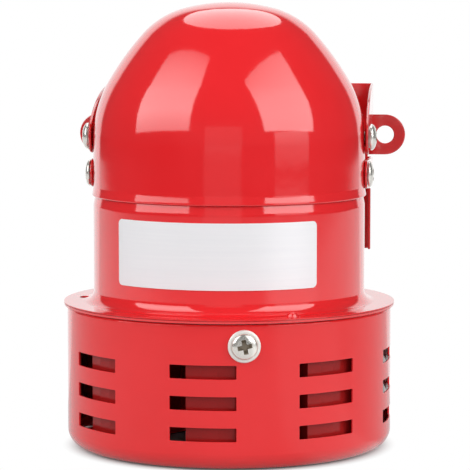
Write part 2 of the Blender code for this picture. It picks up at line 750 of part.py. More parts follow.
def motor_plate():
    """Disc under the flange that carries the motor, with tabs bent down for the drum's screws."""
    holes = [circle((0.0, 0.0), BUSHING_RADIUS + HOLE_CLEARANCE, PIECE_FACETS)]
    holes += [circle((0.0, side * BOLT_RADIUS), BORE) for side in (-1, 1)]
    outline = circle((0.0, 0.0), PLATE_RADIUS, SHELL_FACETS)
    middle = Matrix.Translation((0.0, 0.0, (PLATE_TOP + PLATE_BOTTOM) / 2))
    disc = plate("motor_plate", [outline] + holes, PLATE_SHEET, "zinc_plate", middle)
    top = (PLATE_TOP + PLATE_BOTTOM) / 2
    for index in range(CAGE_SCREWS):
        tab = [
            (-TAB_WIDTH / 2, TAB_BOTTOM),
            (TAB_WIDTH / 2, TAB_BOTTOM),
            (TAB_WIDTH / 2, top),
            (-TAB_WIDTH / 2, top),
        ]
        hole = circle((0.0, CAGE_SCREW_Z), BORE)
        turn = Matrix.Rotation(math.radians(cage_screw_turn(index)), 4, "Z")
        where = turn @ Matrix.Translation((0.0, -(TAB_INNER + TAB_OUTER) / 2, 0.0)) @ UPRIGHT
        join(disc, plate("plate_tab", [tab, hole], PLATE_SHEET, matrix=where))


def bolt_holes(obj, bottom, height):
    for side in (-1, 1):
        start = (0.0, side * BOLT_RADIUS, bottom - CUT_MARGIN)
        cut(obj, pin_cutter("bolt_hole", BORE, start, (0.0, 0.0, 1.0), height + 2 * CUT_MARGIN))


def wall_window(name, degrees, width, height, z):
    """Block that cuts a window through an end frame's wall."""
    reach = 2 * FRAME_WALL + 2 * CUT_MARGIN
    middle = MOTOR_RADIUS - FRAME_WALL / 2
    mesh = block_mesh(name, (reach, width, height), (middle, 0.0, z))
    mesh.transform(Matrix.Rotation(math.radians(degrees), 4, "Z"))
    return mesh


def end_frames():
    """Two cast cups that clamp the stator and hold the shaft's bushings."""
    bushing_hole = BUSHING_RADIUS + HOLE_CLEARANCE
    top = LOWER_FRAME_BOTTOM + LOWER_FRAME_HEIGHT
    floor = LOWER_FRAME_BOTTOM + FRAME_FLOOR
    lower = turned("lower_end_frame", [
        (MOTOR_RADIUS, top),
        (MOTOR_RADIUS, LOWER_FRAME_BOTTOM),
        (bushing_hole, LOWER_FRAME_BOTTOM),
        (bushing_hole, floor),
        (FRAME_INNER, floor),
        (FRAME_INNER, top),
    ], "cast_alloy", PIECE_FACETS, closed=True)
    middle = (floor + top) / 2
    windows = []
    for degrees in (45.0, 135.0, 225.0, 315.0):
        windows.append(wall_window("lower_window", degrees, WINDOW_WIDTH, WINDOW_HEIGHT, middle))
    cut(lower, gathered("lower_windows", windows))
    bolt_holes(lower, LOWER_FRAME_BOTTOM, FRAME_FLOOR)

    roof = UPPER_FRAME_TOP - FRAME_FLOOR
    upper = turned("upper_end_frame", [
        (bushing_hole, UPPER_FRAME_TOP),
        (MOTOR_RADIUS, UPPER_FRAME_TOP),
        (MOTOR_RADIUS, UPPER_FRAME_BOTTOM),
        (FRAME_INNER, UPPER_FRAME_BOTTOM),
        (FRAME_INNER, roof),
        (bushing_hole, roof),
    ], "cast_alloy", PIECE_FACETS, closed=True)
    middle = (UPPER_FRAME_BOTTOM + roof) / 2
    windows = []
    for degrees in (90.0, 270.0):
        windows.append(wall_window("upper_window", degrees, WINDOW_WIDTH, WINDOW_HEIGHT, middle))
    width = HOLDER_WIDTH + 2 * CLEARANCE
    height = HOLDER_HEIGHT + 2 * CLEARANCE
    for degrees in (0.0, 180.0):
        windows.append(wall_window("holder_window", degrees, width, height, BRUSH_Z))
    cut(upper, gathered("upper_windows", windows))
    bolt_holes(upper, roof, FRAME_FLOOR)


def stator_core():
    """Laminated ring with a pole at each side."""
    neck_half = POLE_WIDTH / 2
    shoe_neck = math.degrees(math.asin(neck_half / SHOE_RADIUS))
    yoke_neck = math.degrees(math.asin(neck_half / YOKE_INNER))
    centre = (0.0, 0.0)
    inner = []
    for start in (0.0, 180.0):
        inner += arc(centre, POLE_RADIUS, start - SHOE_HALF_ANGLE, start + SHOE_HALF_ANGLE, 12)
        inner += arc(centre, SHOE_RADIUS, start + SHOE_HALF_ANGLE, start + shoe_neck, 3)
        inner += arc(centre, YOKE_INNER, start + yoke_neck, start + 180.0 - yoke_neck, YOKE_STEPS)
        inner += arc(centre, SHOE_RADIUS, start + 180.0 - shoe_neck, start + 180.0 - SHOE_HALF_ANGLE, 3)
    outer = circle(centre, MOTOR_RADIUS, SHELL_FACETS)
    where = Matrix.Translation((0.0, 0.0, STACK_MIDDLE))
    plate("stator_core", [outer, inner], STACK_HEIGHT, "lamination", where)


def field_coils():
    """One rounded winding round each pole's neck, between the shoe and the yoke."""
    inner_half = POLE_WIDTH / 2 + CLEARANCE
    outer_half = inner_half + COIL_WIDTH
    inner_rise = STACK_HEIGHT / 2 + CLEARANCE
    start = SHOE_RADIUS + CLEARANCE
    dip = math.cos(math.pi / YOKE_STEPS / 2)
    end = math.sqrt((YOKE_INNER * dip) ** 2 - outer_half ** 2) - CLEARANCE
    hole = rounded_rectangle(inner_half, inner_rise, CLEARANCE)
    outline = rounded_rectangle(outer_half, inner_rise + COIL_WIDTH, COIL_CORNER)
    for name, side in (("left", -1), ("right", 1)):
        where = Matrix.Translation((side * (start + end) / 2, 0.0, STACK_MIDDLE)) @ CROSSWISE
        plate(f"field_coil_{name}", [outline, hole], end - start, "copper_winding", where)


def toothed_outline(radius, depth, count, gap_half_angle):
    """Round outline with evenly spaced radial slots."""
    pitch = 360.0 / count
    points = []
    for tooth in range(count):
        middle = tooth * pitch
        edge = pitch / 2 - gap_half_angle
        points += [on_circle(radius, middle + edge * k) for k in (-1, 0, 1)]
        points += [on_circle(radius - depth, middle + edge), on_circle(radius - depth, middle + pitch - edge)]
    return points


def spindle():
    """Everything that turns: shaft, armature, commutator, rotor and what holds it on."""
    axis = bpy.data.objects.new("spindle_axis", None)
    PARTS.objects.link(axis)
    pieces = [motor_shaft(), armature_core(), armature_winding(), commutator(), siren_rotor()]
    pieces += rotor_fixings()
    for piece in pieces:
        piece.parent = axis


def motor_shaft():
    shoulder = ROTOR_TOP + CLEARANCE
    return turned("motor_shaft", [
        (0.0, SHAFT_TOP),
        (SHAFT_RADIUS, SHAFT_TOP),
        (SHAFT_RADIUS, shoulder),
        (STUB_RADIUS, shoulder),
        (STUB_RADIUS, SHAFT_BOTTOM),
        (0.0, SHAFT_BOTTOM),
    ], "shaft_steel", PIECE_FACETS)


def shaft_hole():
    return circle((0.0, 0.0), SHAFT_RADIUS + HOLE_CLEARANCE, PIECE_FACETS)


def slot_half_angle():
    return SLOT_SHARE * 180.0 / ARMATURE_SLOTS


def armature_core():
    outline = toothed_outline(ARMATURE_RADIUS, SLOT_DEPTH, ARMATURE_SLOTS, slot_half_angle())
    where = Matrix.Translation((0.0, 0.0, STACK_MIDDLE))
    return plate("armature_core", [outline, shaft_hole()], STACK_HEIGHT, "lamination", where)


def armature_winding():
    """Bundles in the armature's slots, joined by a rounded head of wire at each end."""
    inner = ARMATURE_RADIUS - SLOT_DEPTH + CLEARANCE
    outer = ARMATURE_RADIUS - WINDING_INSET
    half_angle = slot_half_angle() - math.degrees(CLEARANCE / inner)
    bore = SHAFT_RADIUS + HOLE_CLEARANCE
    heads = []
    for name, near, far in (
        ("armature_winding", STACK_TOP + CLEARANCE, WINDING_TOP),
        ("winding_lower_head", STACK_BOTTOM - CLEARANCE, STACK_BOTTOM - CLEARANCE - WINDING_RISE),
    ):
        step = math.copysign(WINDING_BEVEL, far - near)
        profile = [(outer, near), (bore, near), (bore, far)]
        profile += [(outer - WINDING_BEVEL, far), (outer, far - step)]
        if far > near:
            profile.reverse()
        finish_name = "copper_winding" if name == "armature_winding" else None
        heads.append(turned(name, profile, finish_name, PIECE_FACETS, closed=True))
    bundles = []
    for slot in range(ARMATURE_SLOTS):
        middle = (slot + 0.5) * 360.0 / ARMATURE_SLOTS
        outline = sector(inner, outer - BUNDLE_INSET, middle, half_angle)
        bundle = plate_mesh("bundle", [outline], STACK_HEIGHT + WINDING_RISE)
        bundle.transform(Matrix.Translation((0.0, 0.0, STACK_MIDDLE)))
        bundles.append(bundle)
    join(heads[0], gathered("winding_bundles", bundles))
    join(heads[0], heads[1])
    return heads[0]


def commutator():
    outline = toothed_outline(
        COMMUTATOR_RADIUS, COMMUTATOR_GROOVE, ARMATURE_SLOTS, COMMUTATOR_GROOVE_ANGLE / 2,
    )
    where = Matrix.Translation((0.0, 0.0, COMMUTATOR_BOTTOM + COMMUTATOR_HEIGHT / 2))
    return plate("commutator", [outline, shaft_hole()], COMMUTATOR_HEIGHT, "copper_winding", where)


def siren_rotor():
    """Disc and hub, with wall segments that open and close the drum's slots, each with a vane behind it."""
    bore = STUB_RADIUS + HOLE_CLEARANCE
    underside = ROTOR_TOP - ROTOR_SHEET
    rotor = turned("siren_rotor", [
        (bore, ROTOR_TOP),
        (ROTOR_RADIUS, ROTOR_TOP),
        (ROTOR_RADIUS, underside),
        (HUB_RADIUS, underside),
        (HUB_RADIUS, HUB_BOTTOM),
        (bore, HUB_BOTTOM),
    ], "rotor_red", closed=True)
    wall_inner = ROTOR_RADIUS - ROTOR_SHEET
    root = math.degrees(ROTOR_SHEET / VANE_INNER_RADIUS)
    tip = math.degrees(ROTOR_SHEET / wall_inner)
    height = ROTOR_TOP - ROTOR_SHEET / 2 - ROTOR_BOTTOM
    steps = 4
    blades = []
    for port in range(ROTOR_PORTS):
        start = ROTOR_TURN + port * 360.0 / ROTOR_PORTS
        end = start + ROTOR_WALL_ANGLE
        outline = [on_circle(VANE_INNER_RADIUS, start)]
        outline += [on_circle(ROTOR_RADIUS, start + ROTOR_WALL_ANGLE * i / steps) for i in range(steps + 1)]
        back = [end + (start + tip - end) * i / steps for i in range(steps + 1)]
        outline += [on_circle(wall_inner, turn) for turn in back]
        outline.append(on_circle(VANE_INNER_RADIUS, start + root))
        blade = plate_mesh("blade", [outline], height)
        blade.transform(Matrix.Translation((0.0, 0.0, ROTOR_BOTTOM + height / 2)))
        blades.append(blade)
    join(rotor, gathered("rotor_blades", blades))
    return rotor


def rotor_fixings():
    bore = STUB_RADIUS + HOLE_CLEARANCE
    washer_bottom = WASHER_TOP - WASHER_THICKNESS
    washer = ring("rotor_washer", WASHER_RADIUS, bore, washer_bottom, WASHER_TOP, "zinc_plate")
    seat = (0.0, 0.0, ROTOR_NUT_TOP)
    up = (0.0, 0.0, 1.0)
    nut = hex_nut("rotor_nut", seat, up, ROTOR_NUT_FLATS, ROTOR_NUT_THICKNESS, bore, "zinc_plate")
    return [washer, nut]


def bushings():
    bore = SHAFT_RADIUS + RUNNING_CLEARANCE
    bottom = PLATE_BOTTOM
    ring("lower_bushing", BUSHING_RADIUS, bore, bottom, bottom + BUSHING_LENGTH, "sintered_bronze")
    ring("upper_bushing", BUSHING_RADIUS, bore, UPPER_BUSHING_BOTTOM, UPPER_BUSHING_TOP, "sintered_bronze")


def through_bolts():
    """Long bolts that clamp the motor together and hold it down on its plate."""
    head_seat = UPPER_FRAME_TOP + CLEARANCE
    nut_seat = PLATE_BOTTOM - CLEARANCE
    length = head_seat - nut_seat + NUT_THICKNESS + TIP_LENGTH
    up = (0.0, 0.0, 1.0)
    for name, side in (("front", -1), ("rear", 1)):
        y = side * BOLT_RADIUS
        pan_screw(f"through_bolt_{name}", (0.0, y, head_seat), up, BOLT_HEAD_RADIUS, BOLT_HEAD_HEIGHT, length)
        hex_nut(f"through_nut_{name}", (0.0, y, nut_seat), up, NUT_FLATS, NUT_THICKNESS, BORE, "zinc_plate")


def spring_mesh(length, coil_radius):
    """Helix of wire along Z, centred on Z = 0."""
    curve = bpy.data.curves.new("brush_spring", "CURVE")
    curve.dimensions = "3D"
    curve.bevel_depth = SPRING_WIRE
    curve.bevel_resolution = 0
    curve.use_fill_caps = True
    count = SPRING_TURNS * SPRING_POINTS + 1
    spline = curve.splines.new("POLY")
    spline.points.add(count - 1)
    for i, point in enumerate(spline.points):
        share = i / (count - 1)
        angle = 2 * math.pi * SPRING_TURNS * share
        x = coil_radius * math.cos(angle)
        y = coil_radius * math.sin(angle)
        point.co = (x, y, length * (share - 0.5), 1.0)
    return curve_mesh("brush_spring", curve)


def brush_gear():
    """At each side a carbon brush slides in a brass holder, pressed on by a spring under a cap."""
    outer = rectangle(HOLDER_WIDTH / 2, HOLDER_HEIGHT / 2)
    inner = rectangle(HOLDER_INNER_WIDTH / 2, HOLDER_INNER_HEIGHT / 2)
    brush = rectangle(BRUSH_WIDTH / 2, BRUSH_HEIGHT / 2)
    coil_radius = BRUSH_WIDTH / 2 - SPRING_WIRE
    spring_start = BRUSH_END + CLEARANCE
    spring_end = CAP_START - CLEARANCE
    spring_length = spring_end - spring_start - 2 * SPRING_WIRE
    for name, side in (("left", -1), ("right", 1)):
        direction = sideways(side)

        def at(start, end):
            middle = (side * (start + end) / 2, 0.0, BRUSH_Z)
            return outward(middle, direction)

        holder_length = HOLDER_END - HOLDER_START
        holder_place = at(HOLDER_START, HOLDER_END)
        plate(f"brush_holder_{name}", [outer, inner], holder_length, "brass", holder_place)
        plate(f"carbon_brush_{name}", [brush], BRUSH_LENGTH, "carbon", at(BRUSH_START, BRUSH_END))
        plate(f"brush_cap_{name}", [brush], CAP_LENGTH, "cap_plastic", at(CAP_START, HOLDER_END))
        spring = spring_mesh(spring_length, coil_radius)
        place(f"brush_spring_{name}", spring, "shaft_steel", at(spring_start, spring_end))


dome_cap()
motor_body()
sound_cage()
cage_fasteners()
mounting_bracket()
bracket_fasteners()
name_label()
cable_grommet()
motor_plate()
end_frames()
stator_core()
field_coils()
spindle()
bushings()
through_bolts()
brush_gear()
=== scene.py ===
import json
import math

import bmesh
import bpy
from mathutils import Matrix, Vector


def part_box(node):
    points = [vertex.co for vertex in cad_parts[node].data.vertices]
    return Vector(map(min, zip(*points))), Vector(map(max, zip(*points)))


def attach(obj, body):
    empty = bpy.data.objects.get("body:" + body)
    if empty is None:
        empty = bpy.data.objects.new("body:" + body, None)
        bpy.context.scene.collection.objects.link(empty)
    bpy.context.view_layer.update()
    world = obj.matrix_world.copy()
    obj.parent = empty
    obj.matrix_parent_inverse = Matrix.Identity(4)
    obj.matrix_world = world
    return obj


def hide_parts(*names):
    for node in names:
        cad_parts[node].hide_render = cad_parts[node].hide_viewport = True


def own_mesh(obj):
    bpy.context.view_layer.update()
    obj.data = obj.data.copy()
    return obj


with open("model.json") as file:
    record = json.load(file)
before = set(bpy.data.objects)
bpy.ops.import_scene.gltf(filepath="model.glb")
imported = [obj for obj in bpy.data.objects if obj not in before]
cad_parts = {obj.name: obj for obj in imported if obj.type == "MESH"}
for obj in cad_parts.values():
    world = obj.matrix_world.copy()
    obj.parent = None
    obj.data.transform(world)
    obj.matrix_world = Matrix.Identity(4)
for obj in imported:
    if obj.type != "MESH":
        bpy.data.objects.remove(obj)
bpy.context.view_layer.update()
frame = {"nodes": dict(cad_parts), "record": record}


def middle(node):
    """Centre of a node's box."""
    low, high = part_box(node)
    return (low + high) / 2


# Lengths are in metres and angles in degrees unless a comment says otherwise.
# Turns go round the axis, from the front towards +X.

# Sheet and gaps
SHEET = 0.0010
CAP_SHEET = 0.00045
CAGE_SHEET = 0.0005
BRACKET_SHEET = 0.00075
CLEARANCE = 0.0003
CONTACT = 0.00004
SHELL_FACETS = 120
DRILL_FACETS = 32
SHARP_ANGLE = 40.0
ON_AXIS = 1e-7
SKIN_COSINE = 0.995

# Cap: each arc has a radius, scaled to fit the width, and the slope where it ends
dome_low, dome_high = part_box("dome_cap")
DOME_ARCS = ((0.047, 15.0), (0.023, 48.0), (0.075, 60.0), (0.032, 90.0))
DOME_STEP = 2.0
FLARE = 0.00035
FLARE_HEIGHT = 0.0026
FLARE_TILT = 9.6
FLARE_KNEE = 0.00045
FLARE_KNEE_ROWS = (0.33, 0.67, 1.0)
FLARE_ROWS = (0.25, 0.5, 0.75)
LIP_RADIUS = 0.0003
LIP_STEPS = 8
DOME_TOP = dome_high.z
SEAM = dome_low.z

# Can: the neck's rises are above the cap's rim, the flange seam's depths below the flange's top
body_low, body_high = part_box("motor_body")
BODY_RADIUS = dome_high.x - FLARE
NECK_TOP = body_high.z
NECK_RADIUS = BODY_RADIUS - SHEET - CLEARANCE
NECK_RISES = (0.0022, 0.0013, 0.0006)
NECK_ROUND = 0.0003
SHOULDER_INSET = 0.00044
SHOULDER_HEIGHT = 0.0024
SHOULDER_STEPS = 5
KNEE_INSET = 0.00002
KNEE_HEIGHT = 0.00015
WALL_TOP_ROW = 0.0006
WALL_FOOT_ROW = 0.0003
CAN_EDGE = 0.00014
FLANGE_RADIUS = body_high.x
FLANGE_BOTTOM = body_low.z
FLANGE_TOP = FLANGE_BOTTOM + SHEET
FLANGE_FILLET = 0.0030
FILLET_STEPS = 14
FLANGE_STEPS = 20
FLANGE_SEAM = (0.00026, 0.00044)
FLANGE_HOLE = 0.0013
FLANGE_HOLE_STRETCH = 1.8
FLANGE_HOLE_INSET = 0.0050
FLANGE_HOLE_TURN = -92.0
INLET_RADIUS = 0.0043

# Drop of paint on the flange: its distance from the axis and its turn, and the finer grid round it
PAINT_DROP = (0.0409, 28.5)
PAINT_DROP_RADIUS = 0.0015
PAINT_DROP_HEIGHT = 0.0012
PAINT_DROP_STEP = 0.24
PAINT_DROP_STEPS = 10
PAINT_DROP_MARGIN = 3.5

# Slotted drum: its top edge is rounded by pairs of inset and depth
cage_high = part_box("sound_cage")[1]
CAGE_RADIUS = cage_high.x
CAGE_HEIGHT = cage_high.z
CAGE_CORNER = 0.0047
CAGE_CORNER_STEPS = 12
CAGE_TOP_ROUND = ((0.00040, 0.0), (0.00018, 0.00018), (0.00005, 0.00036), (0.0, 0.00060))
INTAKE_RADIUS = 0.0210
SLOT_COLUMNS = 8
SLOT_ROWS = 3
SLOT_HALF_ANGLE = 11.5
SLOT_HEIGHT = 0.0036
SLOT_PITCH = 0.0082
SLOT_LOWEST = 0.0096
SLOT_TURN = -4.4
SLOT_STEPS = 8
SLOT_CORNER = 0.00025
CAGE_EDGE = 0.0002

# Screws: heads and washers are pairs of radius and height, recess sizes are shares of the head's
CAGE_SCREW_TURN = 9.7
CAGE_TWISTS = (12.0, 47.0, 82.0)
UPPER_TWIST = 15.0
LOWER_TWIST = 50.0
CAGE_HEAD = (0.00335, 0.0015)
CAGE_WASHER = (0.0043, 0.0006)
UPPER_HEAD = (0.0036, 0.0019)
LOWER_HEAD = (0.0036, 0.0016)
UPPER_WASHER = (0.0029, 0.0003)
LOWER_WASHER = (0.0029, 0.00006)
HEAD_EDGE = 0.00035
HEAD_STEPS = 14
HEAD_FOOT = (-0.00006, 0.00012)
WASHER_GROOVE = ((-0.00020, -0.00030), (0.00006, -0.00030), (0.00020, -0.00003))
WASHER_RIM = ((-0.00035, -0.00006), (-0.00010, -0.00018))
WASHER_SIDE = 0.4
SHANK_RADIUS = 0.0015
SHANK_LENGTH = 0.0030
SCREW_FACETS = 48
RECESS_SPAN = 1.22
RECESS_WIDTH = 0.34
RECESS_DEPTH = 0.75
RECESS_MOUTH = 1.12
RECESS_FOOT = (0.55, 0.70)
RECESS_OVERCUT = 0.0002
# Faces sunk deeper than RECESS_STEP below the head's dome, within RECESS_REACH of its radius, take the recess's
# painted shade
RECESS_STEP = 0.00006
RECESS_REACH = 0.8
CAGE_SCREW_Z = middle("cage_screw_1").z
UPPER_SCREW_Z = middle("bracket_screw_upper_right").z
LOWER_SCREW_Z = middle("bracket_screw_lower_right").z

# Wall bracket: the dimple's rings are pairs of radius and share of its depth
bracket_low, bracket_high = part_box("mounting_bracket")
WALL_Y = bracket_high.y
ARM_OUTER = BODY_RADIUS + CLEARANCE + BRACKET_SHEET
UPPER_LOBE = 0.0046
LOWER_LOBE = 0.0039
LOBE_TOP_TURN = 120.0
ARM_WIDTH = 0.0084
ARM_RELIEF = 0.0006
EAR_RADIUS = 0.0058
EAR_HOLE_RADIUS = 0.00255
EAR_X = bracket_high.x - EAR_RADIUS
EAR_Z = bracket_high.z - ARM_WIDTH - ARM_RELIEF - EAR_RADIUS
TAIL_FLANGE = 0.0040
TAIL_INSET = 0.0006
BEND = 0.0012
BEND_STEPS = 6
ARM_LEAN = 0.00026
ARM_STEPS = 28
SWEEP_STEPS = 14
EAR_STEPS = 24
DIMPLE = ((0.0029, 0.0), (0.0026, 0.4), (0.0023, 0.9), (0.0018, 0.95))
WALL_GAP = 0.00015
BRACKET_EDGE = 0.00028

# Brush springs
SPRING_TURNS = 5
SPRING_WIRE = 0.00025
SPRING_STEPS = 24
WIRE_SIDES = 8

# Label
label_low, label_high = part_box("name_label")
LABEL_TURN = -2.1
LABEL_HALF_ANGLE = 44.9
LABEL_LIFT = 0.0001
LABEL_SHEET = 0.00012
LABEL_CORNER = 0.0013
LABEL_STEPS = 48
LABEL_CORNER_STEPS = 8

# Grommet: its outer lip is pairs of radius and rise above the can
GROMMET_Z = middle("cable_grommet").z
GROMMET_BORE = 0.0030
GROMMET_NECK = 0.0040
GROMMET_RIM = 0.0054
GROMMET_LIP = (
    (GROMMET_BORE, 0.0009), (GROMMET_BORE + 0.0002, 0.0013), (GROMMET_NECK, 0.0014),
    (GROMMET_RIM - 0.0004, 0.0010), (GROMMET_RIM, 0.0004), (GROMMET_RIM - 0.0001, 0.0),
)
GROMMET_DEPTH = 0.0020
GROMMET_BACK = 0.0012
GROMMET_FACETS = 40


# Materials: the scales are of textures in object space; a wave texture of scale 1 repeats every WAVE_LENGTH

CLOUD_SCALE = 38.0
GRAIN_SCALE = 260.0
METAL_SCALE = 300.0
PEEL_SCALE = 420.0
DULL_SCALE = 500.0
WAVE_LENGTH = 0.314
PEEL_DEPTH = 0.0004
RELIEF_DEPTH = 0.0002
FOIL_STRETCH = (40.0, 40.0, 2600.0)


def new_material(name):
    material = bpy.data.materials.new(name)
    material.use_nodes = True
    tree = material.node_tree
    return material, tree, tree.nodes["Principled BSDF"]


def add(tree, kind, **inputs):
    node = tree.nodes.new(kind)
    for key, value in inputs.items():
        node.inputs[key.replace("_", " ")].default_value = value
    return node


def ramp(tree, source, low, high, start=0.0, end=1.0):
    """Colour ramp between two colours over part of the input's range."""
    node = tree.nodes.new("ShaderNodeValToRGB")
    node.color_ramp.elements[0].position = start
    node.color_ramp.elements[0].color = (*low, 1.0)
    node.color_ramp.elements[1].position = end
    node.color_ramp.elements[1].color = (*high, 1.0)
    tree.links.new(source, node.inputs["Fac"])
    return node.outputs["Color"]


def spread(tree, source, low, high):
    """Map a 0 to 1 value on to a range."""
    node = tree.nodes.new("ShaderNodeMapRange")
    node.inputs["To Min"].default_value = low
    node.inputs["To Max"].default_value = high
    tree.links.new(source, node.inputs["Value"])
    return node.outputs["Result"]


def noise(tree, coordinates, scale, detail=2.0, roughness=0.5):
    node = add(tree, "ShaderNodeTexNoise", Scale=scale, Detail=detail, Roughness=roughness)
    tree.links.new(coordinates, node.inputs["Vector"])
    return node.outputs["Fac"]


def bump(tree, shader, height, strength, distance):
    node = add(tree, "ShaderNodeBump", Strength=strength, Distance=distance)
    tree.links.new(height, node.inputs["Height"])
    tree.links.new(node.outputs["Normal"], shader.inputs["Normal"])


def object_coordinates(tree):
    return tree.nodes.new("ShaderNodeTexCoord").outputs["Object"]


def paint(name, dark, light, rough_low, rough_high, peel, gloss=0.74, coat=0.65):
    """Sprayed gloss paint: slight unevenness in colour and gloss, with a fine orange peel."""
    material, tree, shader = new_material(name)
    shader.inputs["Specular IOR Level"].default_value = gloss
    shader.inputs["Coat Weight"].default_value = coat
    shader.inputs["Coat Roughness"].default_value = rough_low
    where = object_coordinates(tree)
    cloud = noise(tree, where, CLOUD_SCALE, 3.0)
    tree.links.new(ramp(tree, cloud, dark, light, 0.3, 0.7), shader.inputs["Base Color"])
    grain = noise(tree, where, GRAIN_SCALE, 2.0)
    tree.links.new(spread(tree, grain, rough_low, rough_high), shader.inputs["Roughness"])
    bump(tree, shader, noise(tree, where, PEEL_SCALE, 1.0), peel, PEEL_DEPTH)
    return material


def metal(name, dark, light, rough_low, rough_high, scale=METAL_SCALE, relief=0.05, metallic=1.0):
    """Plain metal with uneven polish."""
    material, tree, shader = new_material(name)
    shader.inputs["Metallic"].default_value = metallic
    where = object_coordinates(tree)
    cloud = noise(tree, where, scale, 4.0, 0.6)
    tree.links.new(ramp(tree, cloud, dark, light, 0.3, 0.7), shader.inputs["Base Color"])
    tree.links.new(spread(tree, cloud, rough_low, rough_high), shader.inputs["Roughness"])
    bump(tree, shader, noise(tree, where, scale * 4.0, 2.0), relief, RELIEF_DEPTH)
    return material


def layered(name, dark, light, period, metallic, rough):
    """Thin layers stacked along Z: laminations, or the turns of a winding."""
    material, tree, shader = new_material(name)
    shader.inputs["Metallic"].default_value = metallic
    where = object_coordinates(tree)
    wave = tree.nodes.new("ShaderNodeTexWave")
    wave.bands_direction = "Z"
    wave.inputs["Scale"].default_value = WAVE_LENGTH / period
    wave.inputs["Distortion"].default_value = 0.4
    tree.links.new(where, wave.inputs["Vector"])
    bands = wave.outputs["Fac"]
    tree.links.new(ramp(tree, bands, dark, light, 0.1, 0.6), shader.inputs["Base Color"])
    polish = noise(tree, where, METAL_SCALE)
    tree.links.new(spread(tree, polish, rough, rough + 0.15), shader.inputs["Roughness"])
    bump(tree, shader, bands, 0.4, RELIEF_DEPTH)
    return material


def dull(name, dark, light, rough_low, rough_high):
    """Rubber, moulded plastic or carbon with a fine grain."""
    material, tree, shader = new_material(name)
    where = object_coordinates(tree)
    grain = noise(tree, where, DULL_SCALE, 4.0, 0.6)
    tree.links.new(ramp(tree, grain, dark, light, 0.3, 0.7), shader.inputs["Base Color"])
    tree.links.new(spread(tree, grain, rough_low, rough_high), shader.inputs["Roughness"])
    bump(tree, shader, grain, 0.15, RELIEF_DEPTH)
    return material


def label_foil():
    """Silver sticker: satin foil, faintly brushed round the can."""
    material, tree, shader = new_material("label_foil")
    shader.inputs["Metallic"].default_value = 0.3
    where = object_coordinates(tree)
    stretch = tree.nodes.new("ShaderNodeMapping")
    stretch.inputs["Scale"].default_value = FOIL_STRETCH
    tree.links.new(where, stretch.inputs["Vector"])
    brushed = noise(tree, stretch.outputs["Vector"], 1.0, 3.0)
    colour = ramp(tree, brushed, (0.90, 0.90, 0.93), (0.94, 0.94, 0.96), 0.2, 0.8)
    tree.links.new(colour, shader.inputs["Base Color"])
    tree.links.new(spread(tree, brushed, 0.36, 0.44), shader.inputs["Roughness"])
    bump(tree, shader, brushed, 0.005, 0.0001)
    return material


RED = paint("red_gloss", (0.785, 0.016, 0.020), (0.825, 0.020, 0.025), 0.06, 0.10, 0.03)
CAGE_RED = paint("cage_red_gloss", (0.770, 0.017, 0.020), (0.810, 0.021, 0.025), 0.07, 0.12, 0.04, 0.25, 0.6)
# The red paint, darkened as painted shade for the bracket beside and behind the cap
BRACKET_SHADED_RED = paint("bracket_red_painted_shade", (0.60, 0.014, 0.016), (0.66, 0.018, 0.021), 0.06, 0.10, 0.03)
# The red paint, darkened as painted shade for the rotor inside the drum
ROTOR_SHADED_RED = paint("rotor_red_painted_shade", (0.32, 0.010, 0.010), (0.38, 0.013, 0.013), 0.14, 0.22, 0.04, 0.24, 0.0)
SCREW_METAL = metal("screw_metal", (0.84, 0.82, 0.76), (0.90, 0.88, 0.83), 0.16, 0.24, metallic=0.78)
WASHER_METAL = metal("washer_metal", (0.86, 0.83, 0.79), (0.92, 0.89, 0.85), 0.36, 0.46, metallic=0.4)
# Dark brown metal for the cross recesses: painted shade in the recess
RECESS_PAINTED_SHADE = metal("recess_painted_shade", (0.24, 0.20, 0.15), (0.33, 0.28, 0.21), 0.35, 0.50, metallic=0.5)
LABEL = label_foil()
RUBBER = dull("grommet_rubber", (0.016, 0.016, 0.017), (0.028, 0.028, 0.029), 0.55, 0.75)
SLOT_LOOKS = {
    "red_paint": RED,
    "rotor_red": ROTOR_SHADED_RED,
    "bright_screw": SCREW_METAL,
    "label_silver": LABEL,
    "black_rubber": RUBBER,
    "zinc_plate": metal("zinc_plating", (0.48, 0.49, 0.51), (0.60, 0.61, 0.62), 0.30, 0.45),
    "lamination": layered("lamination_stack", (0.16, 0.165, 0.175), (0.30, 0.305, 0.32), 0.0005, 1.0, 0.42),
    "copper_winding": layered("varnished_copper", (0.32, 0.095, 0.035), (0.60, 0.23, 0.09), 0.0006, 0.9, 0.28),
    "cast_alloy": metal("cast_alloy", (0.52, 0.52, 0.53), (0.64, 0.64, 0.65), 0.42, 0.58, 700.0, 0.2),
    "sintered_bronze": metal("sintered_bronze", (0.38, 0.25, 0.10), (0.50, 0.34, 0.15), 0.45, 0.60, 900.0, 0.2),
    "shaft_steel": metal("ground_steel", (0.52, 0.52, 0.54), (0.62, 0.62, 0.64), 0.18, 0.30),
    "brass": metal("drawn_brass", (0.64, 0.45, 0.18), (0.76, 0.56, 0.25), 0.28, 0.42),
    "carbon": dull("pressed_carbon", (0.020, 0.020, 0.023), (0.045, 0.045, 0.050), 0.45, 0.65),
    "cap_plastic": dull("cap_plastic", (0.038, 0.030, 0.026), (0.060, 0.048, 0.042), 0.35, 0.48),
}


# Mesh helpers

def on_circle(radius, degrees, z):
    """Point round the axis, at an angle from the front towards +X."""
    angle = math.radians(degrees)
    return Vector((radius * math.sin(angle), -radius * math.cos(angle), z))


def arc(centre, radius, start, end, steps):
    """Points along an arc, both ends included."""
    angles = [math.radians(start + (end - start) * i / steps) for i in range(steps + 1)]
    return [(centre[0] + radius * math.cos(a), centre[1] + radius * math.sin(a)) for a in angles]


